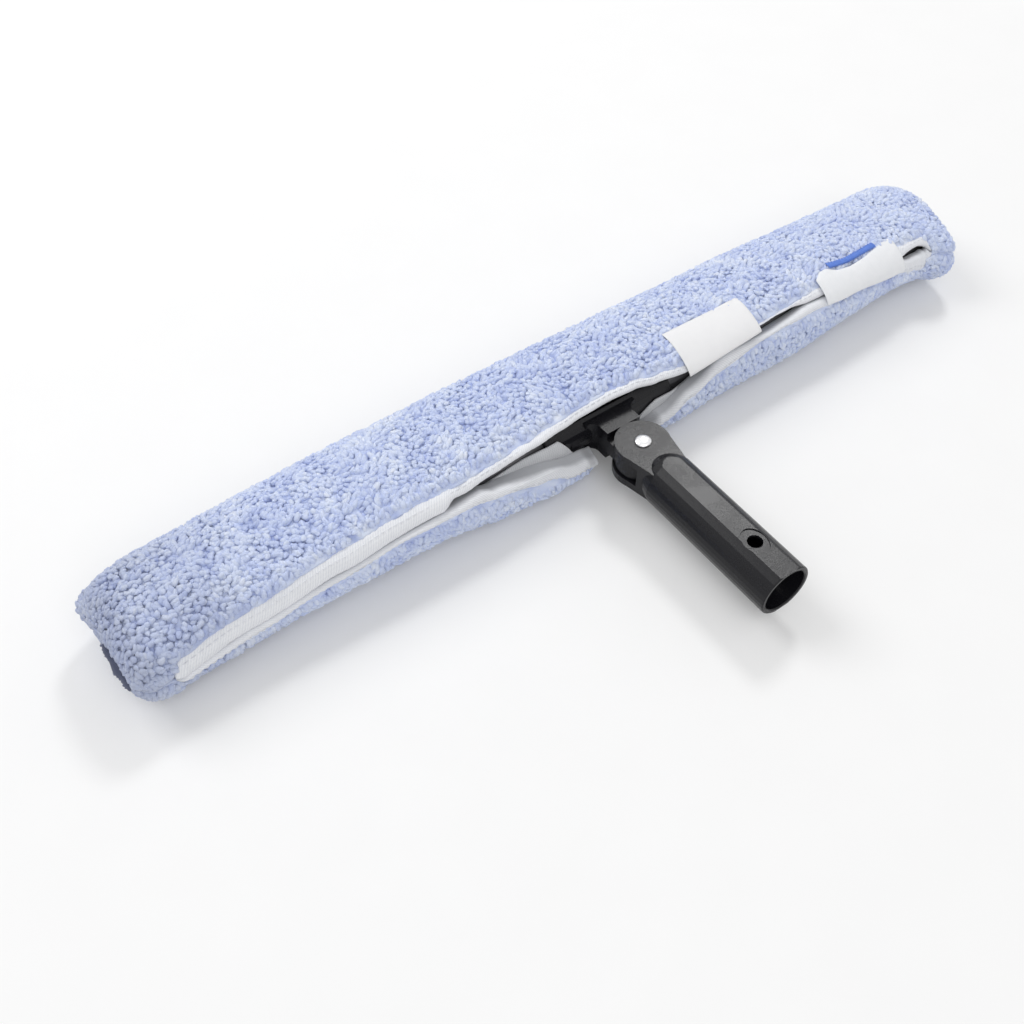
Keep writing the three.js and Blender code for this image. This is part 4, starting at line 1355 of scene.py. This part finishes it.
@dataclass
class Binding:
    """A tape folded over one edge of the slit and sewn down.

    Attributes:
        form: the sleeve's form.
        upper: whether it binds the upper edge.
        fold: the tape's middle line, as places into the slit and heights.
        thickness: the tape's thickness.
        stations: how many rows it has.
        meetings: where the two tapes meet along the slit, as a share of its opening.
        partings: the gap between them there, in millimetres.
        stretches: how much wider than its fold a tape is pulled at most.
        letting_go: over how much more width it lets go of that.
        drift, wave: the pitch and depth of its wander to the side and up and down.
        turned, turned_run: the height from which it wanders, and over what height.
        clearance, stitch_clearance: how far it and its stitches keep off the handle's path.
        pucker, stitch_spacing: how deep its stitches pull it in, and how far apart they are.
        stitch_half, stitch_into, stitch_height, stitch_radius: half a stitch's length, where the
            row of stitches lies in the fold, and the thread.
        noise: what makes it drift and wave.
    """

    form: SleeveForm
    upper: bool
    fold: tuple[tuple[float, float], ...] = (
        (-1.2, 8.4), (-0.6, 9.7), (0.5, 10.5), (1.8, 10.8), (3.1, 10.6), (3.9, 9.8), (4.3, 8.4),
        (4.4, 6.4), (4.4, 4.0), (4.3, 2.4), (3.6, 1.5), (2.2, 1.2), (0.8, 1.2), (-0.6, 1.2))
    thickness: float = 0.8 * MM
    stations: int = 520
    meetings: Table = (
        (-1, -0.5, -0.38, -0.3, 0.26, 0.36, 0.48, 0.56, 0.78, 0.83, 0.88, 1),
        (0.16, 0.18, 0.3, 0.5, 0.55, 0.64, 0.64, 0.5, 0.5, 0.6, 0.66, 0.6))
    partings: Table = (
        (-1, -0.4, 0.3, 0.37, 0.42, 0.48, 0.52, 0.8, 0.83, 0.87, 0.9, 1),
        (0.1, 0.1, 0.3, 3.0, 3.4, 2.2, 0.15, 0.15, 3.0, 3.2, 0.3, 0.12))
    stretches: Table = (
        (-1, -0.5, -0.38, -0.3, 0.24, 0.33, 0.52, 0.78, 0.82, 1),
        (5.0, 4.0, 1.9, 1.5, 1.5, 2.2, 2.2, 1.8, 3.4, 3.4))
    letting_go: float = 0.7
    drift: tuple[float, float] = (17 * MM, 0.6 * MM)
    wave: tuple[float, float] = (9 * MM, 0.9 * MM)
    turned: float = 6 * MM
    turned_run: float = 3 * MM
    clearance: float = 1.0 * MM
    stitch_clearance: float = 0.9 * MM
    pucker: float = 0.12 * MM
    stitch_spacing: float = 3.2 * MM
    stitch_half: float = 1.15 * MM
    stitch_into: float = 1.1 * MM
    stitch_height: float = 10.95 * MM
    stitch_radius: float = 0.24 * MM
    noise: LatticeNoise = field(default_factory=lambda: LatticeNoise(23))

    def place(self, x: Array, into: Array, height: Array) -> Array:
        """Points at distances into the slit from its edge, and heights above the bar.

        The two tapes meet at a line between the slit's edges. A distance is shortened where the
        slit is too narrow for it, and pulled longer where the tape reaches the line with little
        stretch; past that stretch the tape lets go again.

        Args:
            x: places along the bar.
            into: distances from the pile's edge, into the slit.
            height: heights above the bar.

        Returns:
            The points.
        """
        lower, upper = self.form.edges(x)
        place = x / self.form.half_length
        meeting = np.interp(place, *self.meetings)
        own = 1.0 - meeting if self.upper else meeting
        parting = np.interp(place, *self.partings) * MM
        room = np.maximum((upper - lower) * own - self.form.across(1.0) * parting, 0.05)
        widest = self.form.across((max(a for a, _ in self.fold) * MM + self.thickness / 2))
        ratio = room / widest
        most = np.interp(place, *self.stretches)
        loose = smoothstep((ratio - most) / self.letting_go)
        share = np.where(ratio < most, ratio, most + (1.0 - most) * loose)
        moved = self.form.across(1.0) * into
        moved = np.where(moved > 0, moved * share, moved)
        degrees = upper - moved if self.upper else lower + moved
        return self.form.point(x, degrees, height)

    def tape(self) -> Shape:
        """The tape: its middle line set off by half its thickness to both sides, along x.

        Returns:
            The closed tape.
        """
        start, end = self.form.slit_ends
        x = np.linspace(start + 1.0 * MM, end - 1.0 * MM, self.stations)
        line = np.array(self.fold) * MM
        fine = np.linspace(0, len(line) - 1, 27)
        line = np.stack([np.interp(fine, np.arange(len(line)), part) for part in line.T], axis=-1)
        ahead = unit(np.gradient(line, axis=0))
        off = np.stack([-ahead[:, 1], ahead[:, 0]], axis=-1) * self.thickness / 2
        loop = np.concatenate([line + off, (line - off)[::-1]])
        into, height = loop[:, 0], loop[:, 1]
        seed = 3.0 if self.upper else 9.0
        at = np.stack([x, 0 * x + seed, 0 * x], axis=-1)
        drift, wave = ((self.noise.at(at + apart, pitch) - 0.5) * depth
                       for apart, (pitch, depth) in ((0.0, self.drift), (5.0, self.wave)))
        puckers = self.pucker * np.cos(FULL_TURN * x / self.stitch_spacing)
        high = smoothstep((height - self.turned) / self.turned_run)
        into = into[None] + drift[:, None] * high
        height = height[None] + (wave + puckers)[:, None] * high
        points = self.form.cleared(self.place(x[:, None], into, height), self.clearance)
        measure = run_lengths(line)
        return lofted(points, cloth_places(x, np.concatenate([measure, measure[::-1]])))

    def stitches(self) -> Shape:
        """A row of short threads along the tape's outer turn, one every stitch spacing.

        Returns:
            The threads.
        """
        start, end = self.form.slit_ends
        middle = np.arange(start + 6 * MM, end - 6 * MM, self.stitch_spacing)
        into = np.full_like(middle, self.stitch_into)
        height = np.full_like(middle, self.stitch_height)
        ends = [self.form.cleared(self.place(middle + side * self.stitch_half, into, height),
                                  self.stitch_clearance) for side in (-1, 1)]
        up = self.place(middle, into, height + 1 * MM) - self.place(middle, into, height)
        return threads(ends[0], ends[1], unit(up) * 0.3 * MM, self.stitch_radius)

    def build(self, cloth: bpy.types.Material, thread: bpy.types.Material
              ) -> list[bpy.types.Object]:
        """Makes the tape and its stitches.

        Args:
            cloth: the tape's material.
            thread: the thread's.

        Returns:
            The tape, then its stitches.
        """
        side = "upper" if self.upper else "lower"
        tape = self.tape().made(f"binding_tape_{side}", cloth)
        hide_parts(f"slit_binding_{side}")
        stitches = self.stitches().made(f"binding_stitches_{side}", thread)
        return [tape, stitches]


@dataclass
class Patch:
    """A thin piece of cloth laid on the sleeve between two places and two angles.

    Attributes:
        form: the sleeve's form.
        name: the piece's name.
        node: the CAD node that it stands for.
        start, end: its ends, as shares of half the sleeve.
        low, high: its lower and upper edge angles, as functions of x.
        height: how high its middle lies above the bar.
        thickness: its thickness.
        ripple, ripple_pitch: how far it waves up and down, and how wide its waves are.
        curl: how far its edges lift, or dip if negative.
        stations, across: how many rows it has, and points a face in each.
        noise: what makes it wave.
    """

    form: SleeveForm
    name: str
    node: str
    start: float
    end: float
    low: Callable[[Array], Array]
    high: Callable[[Array], Array]
    height: float
    thickness: float = 0.8 * MM
    ripple: float = 0.4 * MM
    ripple_pitch: float = 13 * MM
    curl: float = 0.0
    stations: int = 90
    across: int = 26
    noise: LatticeNoise = field(default_factory=lambda: LatticeNoise(41))

    def build(self, finish: bpy.types.Material) -> bpy.types.Object:
        """Makes the patch: its two faces follow the form at a rippled height, with round edges.

        Args:
            finish: the cloth's material.

        Returns:
            The patch.
        """
        form = self.form
        x = np.linspace(self.start, self.end, self.stations) * form.half_length
        v = np.linspace(0, 1, self.across)
        degrees = self.low(x)[:, None] + (self.high(x) - self.low(x))[:, None] * v
        flat = form.point(x[:, None], degrees, np.full_like(degrees, self.height))
        wave = (self.noise.at(flat, self.ripple_pitch) - 0.5) * 2 * self.ripple
        u = np.linspace(-1, 1, self.stations)[:, None]
        lifted = self.curl * (np.abs(u) ** 6 + np.abs(2 * v - 1) ** 6)
        middle = self.height + wave + lifted
        edge = np.sqrt(np.clip(1 - np.abs(2 * v - 1) ** 16, 0.04, 1))
        edge = edge * np.sqrt(np.clip(1 - np.abs(u) ** 30, 0.04, 1))
        half = self.thickness / 2 * edge
        outer = form.point(x[:, None], degrees, middle + half)
        inner = form.point(x[:, None], degrees, middle - half)
        loops = np.concatenate([outer, inner[:, ::-1]], axis=1)
        cloth = cloth_places(x, run_lengths(flat, axis=1))
        uv = np.concatenate([cloth, cloth[:, ::-1]], axis=1)
        made = lofted(loops, uv).made(self.name, finish)
        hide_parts(self.node)
        return made


@dataclass
class Closure:
    """The hook and loop tapes that hold the slit shut, and the blue stitching over them.

    Attributes:
        form: the sleeve's form.
        places: the loop tape's ends, as shares of half the sleeve.
        top_edge: the angles of its upper edge, which is drawn up at both corners.
        blue_line: the angles of the stitching's middle line.
        stitch_width, stitch_pitch, stitch_radius: the stitching's width, and its threads.
        stitch_wobble, stitch_slant, stitch_rise: how uneven, slanting and bowed they are.
        stitch_height: how high it lies above the bar.
    """

    form: SleeveForm
    places: tuple[float, float] = (0.565, 0.805)
    top_edge: Table = (
        (0.56, 0.585, 0.605, 0.63, 0.666, 0.71, 0.76, 0.783, 0.81),
        (56, 64, 64.5, 57, 54.5, 56, 61, 65, 60))
    blue_line: Table = (
        (0.615, 0.64, 0.666, 0.7, 0.755),
        (66, 64, 62.5, 63, 64))
    stitch_width: float = 3.6 * MM
    stitch_pitch: float = 0.55 * MM
    stitch_radius: float = 0.36 * MM
    stitch_wobble: float = 0.25 * MM
    stitch_slant: float = 0.3 * MM
    stitch_rise: float = 0.35 * MM
    stitch_height: float = 13.0 * MM

    def low(self, inset: float) -> Callable[[Array], Array]:
        """The lower edge's angle, drawn in by an inset."""
        return lambda x: self.form.edges(x)[0] + self.form.across(inset)

    def high(self, inset: float) -> Callable[[Array], Array]:
        """The upper edge's angle, from the table of its corners, drawn in by an inset."""
        return lambda x: (np.interp(x / self.form.half_length, *self.top_edge)
                          - self.form.across(inset))

    def satin(self) -> Shape:
        """A bar of close zigzag threads that runs above the tape's upper edge.

        Returns:
            The threads.
        """
        form = self.form
        places = self.blue_line[0]
        x = np.arange(places[0] * form.half_length, places[-1] * form.half_length,
                      self.stitch_pitch)
        wobble = form.across(1.0) * (self.stitch_wobble * np.sin(np.arange(len(x)) * 2.1))
        line = np.interp(x / form.half_length, *self.blue_line)
        half = form.across(self.stitch_width / 2)
        top, bottom = line + half + wobble, line - half + wobble
        level = np.full_like(x, self.stitch_height)
        middle = (top + bottom) / 2
        rise = unit(form.point(x, middle, level + 1 * MM) - form.point(x, middle, level))
        ends = form.point(x + self.stitch_slant, bottom, level)
        return threads(form.point(x, top, level), ends, rise * self.stitch_rise,
                       self.stitch_radius)

    def build(self, tape: bpy.types.Material, thread: bpy.types.Material
              ) -> list[bpy.types.Object]:
        """Makes both tapes and the stitching.

        Args:
            tape: the tapes' material.
            thread: the thread's.

        Returns:
            The loop tape, the hook tape and the stitching.
        """
        start, end = self.places
        inset = 3 * MM / self.form.half_length
        loop = Patch(self.form, "loop_tape", "closure_loop_tape", start, end,
                     self.low(0.5 * MM), self.high(0.0), 12.9 * MM, curl=-0.3 * MM)
        hook = Patch(self.form, "hook_tape", "closure_hook_tape", start + inset, end - inset,
                     self.low(2.5 * MM), self.high(3.0 * MM), 11.9 * MM, ripple=0.1 * MM)
        stitching = self.satin().made("blue_stitching", thread)
        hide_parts("closure_stitching")
        return [loop.build(tape), hook.build(tape), stitching]


@dataclass
class EndSeam:
    """The overlocked seam in a sewn end's valley, near black as painted shade of the end.

    Attributes:
        form: the sleeve's form.
        end: -1 for the left end, 1 for the right one.
        half_width: half its length across the end.
        near, far: how far out its inner edge and its rim lie.
        shown, shown_start, shown_run: how much further the left end's rim stands out at the
            front, from where and over what distance.
        ragged, wave: the pitch and depth of the rim's wander outwards and up and down.
        thickness: the edge's thickness.
        pitch, thread_radius: its threads' spacing and radius.
        bead: how many points go round the rim.
        noise: what makes it wave.
    """

    form: SleeveForm
    end: int
    half_width: float = 23 * MM
    near: float = 228.7 * MM
    far: float = 233.6 * MM
    shown: float = 4.4 * MM
    shown_start: float = 9 * MM
    shown_run: float = 13 * MM
    ragged: tuple[float, float] = (6 * MM, 2.4 * MM)
    wave: tuple[float, float] = (10 * MM, 3.0 * MM)
    thickness: float = 2.6 * MM
    pitch: float = 0.9 * MM
    thread_radius: float = 0.55 * MM
    bead: int = 9
    noise: LatticeNoise = field(default_factory=lambda: LatticeNoise(57))

    def rim(self, y: Array) -> tuple[Array, Array]:
        """The line of the edge's rim, which shows most at the left end's front.

        Args:
            y: places across the end.

        Returns:
            How far out it lies, and how high over the floor.
        """
        at = np.stack([y, 0 * y + self.end, 0 * y], axis=-1)
        ragged, wave = ((self.noise.at(at + apart, pitch) - 0.5) * depth
                        for apart, (pitch, depth) in ((0.0, self.ragged), (3.0, self.wave)))
        shown = self.shown * smoothstep((self.shown_start - y) / self.shown_run) * (self.end < 0)
        return self.far + shown + ragged, self.form.mid_height + wave

    def pulled(self, points: Array) -> Array:
        """Pulls points out of line with the sleeve's end, but for the edge's inner side.

        Args:
            points: the points.

        Returns:
            The same points, moved.
        """
        form = self.form
        shift = form.pulled(points[..., 0], points[..., 1], points[..., 2] - form.mid_height)
        share = np.clip((np.abs(points[..., 0]) - self.near) / (4 * MM), 0, 1)
        points[..., :2] += np.stack(shift, axis=-1) * share[..., None]
        return points

    def tape(self) -> Shape:
        """The seam's edge: a flat strip with a rounded rim that waves a little.

        Returns:
            The closed strip.
        """
        across = np.linspace(-1, 1, 120)
        y = across * self.half_width
        reach, level = self.rim(y)
        reach = reach - 1.5 * MM * np.abs(across) ** 8
        turn = np.linspace(-np.pi / 2, np.pi / 2, self.bead)
        half = self.thickness / 2
        out_x = np.concatenate([[0.0], np.cos(turn), [0.0]])
        out_z = np.concatenate([[-1.0], np.sin(turn), [1.0]])
        inner = np.array([1.0] + [0.0] * self.bead + [1.0])
        x = reach[:, None] + half * out_x - inner * (reach[:, None] - self.near)
        z = level[:, None] + half * out_z
        points = np.stack([self.end * x, np.broadcast_to(y[:, None], x.shape), z], axis=-1)
        return lofted(self.pulled(points), cloth_places(y, np.arange(self.bead + 2) * 0.7 * MM))

    def loops(self) -> Shape:
        """Overlock threads: a loop over the rim every pitch, a little uneven.

        Returns:
            The threads.
        """
        rng = np.random.default_rng(31 + self.end)
        y = np.arange(-self.half_width + 1.5 * MM, self.half_width - 1 * MM, self.pitch)
        y = y + rng.normal(0, 0.2 * MM, len(y))
        reach, level = self.rim(y)
        back = self.end * (reach - rng.uniform(1.5, 2.6, len(y)) * MM)
        starts = np.stack([back, y, level + self.thickness / 2], axis=-1)
        ends = np.stack([back, y + rng.normal(0.5, 0.4, len(y)) * MM, level - self.thickness / 2],
                        axis=-1)
        rise = np.zeros_like(starts)
        rise[:, 0] = self.end * rng.uniform(2.7, 3.2, len(y)) * MM
        return threads(self.pulled(starts), self.pulled(ends), rise, self.thread_radius, steps=7)

    def build(self, cloth: bpy.types.Material, thread: bpy.types.Material
              ) -> list[bpy.types.Object]:
        """Makes the seam's edge and its threads.

        Args:
            cloth: the edge's material.
            thread: the thread's.

        Returns:
            The edge, then the threads.
        """
        side = "left" if self.end < 0 else "right"
        tape = self.tape().made(f"seam_edge_{side}", cloth)
        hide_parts(f"end_seam_{side}")
        return [tape, self.loops().made(f"seam_threads_{side}", thread)]


@dataclass
class Sleeve:
    """The whole sleeve: its pile, ground cloth, bindings, closure, label and end seams.

    Attributes:
        form: its form.
        label_low: the angles of the label's slanting lower edge, from end to end.
        label_high: the angle of its upper edge.
        cloths, sewing: the woven finishes and the threads.
    """

    form: SleeveForm
    label_low: Table = ((0.18, 0.38), (29, 36))
    label_high: float = 79.8
    cloths: tuple[Woven, ...] = (
        Woven("binding", (0.88, 0.89, 0.92), (0.68, 0.7, 0.75), 0.8 * MM, Weave.TWILL,
              soil=0.15, shade_from=7.6 * MM),
        Woven("closure", (0.92, 0.93, 0.95), (0.74, 0.76, 0.8), 0.6 * MM, soil=0.1),
        Woven("label", (0.94, 0.94, 0.95), (0.86, 0.86, 0.88), 0.35 * MM, roughness=0.6,
              soil=0.06),
        Woven("backing", (0.66, 0.67, 0.69), (0.46, 0.47, 0.5), 1.0 * MM),
        # Painted shade: the seam is real, but its near-black colours stand for the end face in
        # shade.
        Woven("seam", (0.1, 0.11, 0.17), (0.05, 0.06, 0.1), 0.7 * MM),
    )
    sewing: tuple[Thread, ...] = (
        Thread("white_thread", (0.86, 0.87, 0.9), (0.6, 0.62, 0.68)),
        Thread("blue_thread", (0.16, 0.31, 0.8), (0.04, 0.12, 0.55)),
        # Painted shade: the seam thread is near black for the end face's shade.
        Thread("seam_thread", (0.13, 0.15, 0.25), (0.06, 0.07, 0.12)),
    )

    def build(self) -> None:
        """Makes and dresses every piece of cloth, and puts each on the washer's body."""
        made = {finish.name: finish.material() for finish in (*self.cloths, *self.sewing)}
        pile = Pile(self.form).build(Plush().material())
        for piece in pile:
            self.ride(piece)
        cloth = Backing(self.form).build(made["backing"])
        self.ride(cloth)
        for upper in (True, False):
            tape, stitches = Binding(self.form, upper).build(made["binding"], made["white_thread"])
            self.ride(tape)
            self.ride(stitches)
        closure = Closure(self.form)
        loop, hook, blue_line = closure.build(made["closure"], made["blue_thread"])
        self.ride(blue_line)
        self.ride(loop)
        self.ride(hook)
        tab = self.label(made["label"])
        self.ride(tab)
        for end in (-1, 1):
            seam = EndSeam(self.form, end).build(made["seam"], made["seam_thread"])
            for piece in seam:
                self.ride(piece)
            pile.extend(seam)

    def label(self, finish: bpy.types.Material) -> bpy.types.Object:
        """Makes the bare label.

        Args:
            finish: its material.

        Returns:
            The label.
        """
        def low(x: Array) -> Array:
            """The slanting lower edge's angle."""
            return np.interp(x / self.form.half_length, *self.label_low)

        def high(x: Array) -> Array:
            """The upper edge's angle."""
            return np.full_like(x, self.label_high)

        patch = Patch(self.form, "bare_label", "blank_label", *self.label_low[0], low, high,
                      self.form.reach + 1.2 * MM, thickness=0.5 * MM, curl=-0.3 * MM)
        return patch.build(finish)

    def ride(self, piece: bpy.types.Object) -> None:
        """Puts a piece on the washer's body.

        Args:
            piece: the piece.
        """
        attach(piece, "washer")
        LOG.info("%s: %d faces", piece.name, len(piece.data.polygons))


# ---- The hard parts and the studio ---------------------------------------------------------


@dataclass(frozen=True)
class HardParts:
    """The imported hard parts, which keep their shapes and get their finishes.

    Attributes:
        finishes: a finish for each of their slots.
    """

    finishes: Mapping[str, Moulded | Metal] = field(default_factory=lambda: {
        "moulding": Moulded(),
        "bar": Metal("anodised_bar", (0.13, 0.13, 0.14), (0.07, 0.07, 0.075), 0.42,
                     (0.03, 1.0, 1.0), 0.7),
        "steel": Metal("bright_zinc", (0.92, 0.92, 0.93), (0.7, 0.7, 0.72), 0.24),
        "black_steel": Metal("black_oxide", (0.06, 0.06, 0.065), (0.03, 0.03, 0.033), 0.38,
                             metallic=0.6),
        "friction": Moulded("bare_nylon", (0.72, 0.72, 0.68), (0.8, 0.8, 0.77), 0.5, 0.00002),
    })

    def build(self) -> None:
        """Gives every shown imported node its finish."""
        made = {slot: finish.material() for slot, finish in self.finishes.items()}
        for row in frame["record"]["subparts"]:
            node, finish = frame["nodes"][row["node"]], made.get(row["material_slot"])
            for slot in node.material_slots if finish else ():
                slot.material = finish


@dataclass(frozen=True)
class Lamp:
    """A round soft lamp that points at the origin.

    Attributes:
        name: what it does.
        direction: the way to it from the origin.
        distance: how far off it is.
        power: its power in watts.
        size: its width.
    """

    name: str
    direction: tuple[float, float, float]
    distance: float
    power: float
    size: float

    def build(self) -> None:
        """Makes the lamp and turns it to the origin."""
        data = bpy.data.lights.new(self.name, "AREA")
        data.shape = "DISK"
        data.size = self.size
        data.energy = self.power
        lamp = bpy.data.objects.new(self.name, data)
        towards = Vector(self.direction).normalized()
        lamp.location = towards * self.distance
        lamp.rotation_mode = "QUATERNION"
        lamp.rotation_quaternion = (-towards).to_track_quat("-Z", "Y")
        bpy.context.scene.collection.objects.link(lamp)


@dataclass
class Studio:
    """The floor, the light and the camera.

    Attributes:
        azimuth, elevation: the camera's direction, in degrees.
        eye: where it stands.
        lens: its focal length in millimetres, on a frame 36 mm wide.
        ambient: the strength of the world's even light.
        glow: how much the floor is lightened where it is seen.
        fade_start, fade_rise, fade_glow: from what distance it is lightened more, how fast and
            how far.
        floor_half: half the floor's width.
        lamps: the lamps.
    """

    azimuth: float = -35.66
    elevation: float = 50.42
    eye: tuple[float, float, float] = (-0.26734, -0.31873, 0.43614)
    lens: float = 43.19
    ambient: float = 0.53
    glow: float = 0.06
    fade_start: float = 0.5
    fade_rise: float = 0.9
    fade_glow: float = 0.6
    floor_half: float = 6.0
    lamps: tuple[Lamp, ...] = (
        Lamp("key", (-0.38, 0.57, 0.73), 1.7, 8.7, 1.0),
        Lamp("panel", (0.506, 0.385, 0.772), 1.89, 8.2, 0.4),
        Lamp("fill", (-0.2, -0.62, 0.76), 2.0, 10.6, 1.6),
    )

    def floor(self) -> None:
        """A pale floor: it takes the shadow, and is seen lightened to white far from the part."""
        mesh = bpy.data.meshes.new("floor")
        half = self.floor_half
        corners = [(-half, -half, 0), (half, -half, 0), (half, half, 0), (-half, half, 0)]
        mesh.from_pydata(corners, [], [(0, 1, 2, 3)])
        floor = bpy.data.objects.new("floor", mesh)
        bpy.context.scene.collection.objects.link(floor)
        tree = Tree(bpy.data.materials.new("floor"))
        place = tree.place()
        grain = tree.noise(place, 30.0, 2.0)
        distance = tree.out(tree.node("ShaderNodeVectorMath", {"operation": "LENGTH"},
                                      {0: place}), "Value")
        faded = tree.held((distance - self.fade_start) * self.fade_rise)
        colour = tree.mixed(grain, (0.83, 0.83, 0.83), (0.85, 0.85, 0.85))
        diffuse = tree.node("ShaderNodeBsdfDiffuse", None, {"Color": colour})
        strength = tree.seen() * (faded * self.fade_glow + self.glow)
        glow = tree.node("ShaderNodeEmission", None, {"Color": WHITE, "Strength": strength})
        both = tree.node("ShaderNodeAddShader", None, {0: tree.out(diffuse), 1: tree.out(glow)})
        tree.node("ShaderNodeOutputMaterial", None, {"Surface": tree.out(both)})
        mesh.materials.append(tree.owner)

    def light(self) -> None:
        """Even light from the world, which is seen white, and the soft lamps."""
        tree = Tree(bpy.data.worlds.new("studio"))
        bpy.context.scene.world = tree.owner
        strength = tree.seen() * (1.0 - self.ambient) + self.ambient
        back = tree.node("ShaderNodeBackground", None, {"Color": WHITE, "Strength": strength})
        tree.node("ShaderNodeOutputWorld", None, {"Surface": tree.out(back)})
        for lamp in self.lamps:
            lamp.build()

    def camera(self) -> None:
        """The camera: it looks down its elevation from its azimuth, with no roll."""
        data = bpy.data.cameras.new("camera")
        data.lens = self.lens
        data.sensor_width = 36.0
        data.clip_start = 0.01
        camera = bpy.data.objects.new("camera", data)
        a, e = math.radians(self.azimuth), math.radians(self.elevation)
        right = Vector((math.cos(a), math.sin(a), 0.0))
        back = Vector((math.sin(a) * math.cos(e), -math.cos(a) * math.cos(e), math.sin(e)))
        up = back.cross(right)
        turned = Matrix((right, up, back)).transposed().to_4x4()
        camera.matrix_world = Matrix.Translation(self.eye) @ turned
        bpy.context.scene.collection.objects.link(camera)
        bpy.context.scene.camera = camera

    def build(self) -> None:
        """Makes the floor, the light and the camera."""
        self.camera()
        self.floor()
        self.light()
        bpy.context.scene.view_settings.view_transform = "Standard"


def main() -> None:
    """Builds the studio, the hard parts and the sleeve."""
    logging.basicConfig(level=logging.INFO, format="%(name)s: %(message)s")
    Studio().build()
    HardParts().build()
    Sleeve(SleeveForm()).build()


if __name__ == "__main__":
    main()
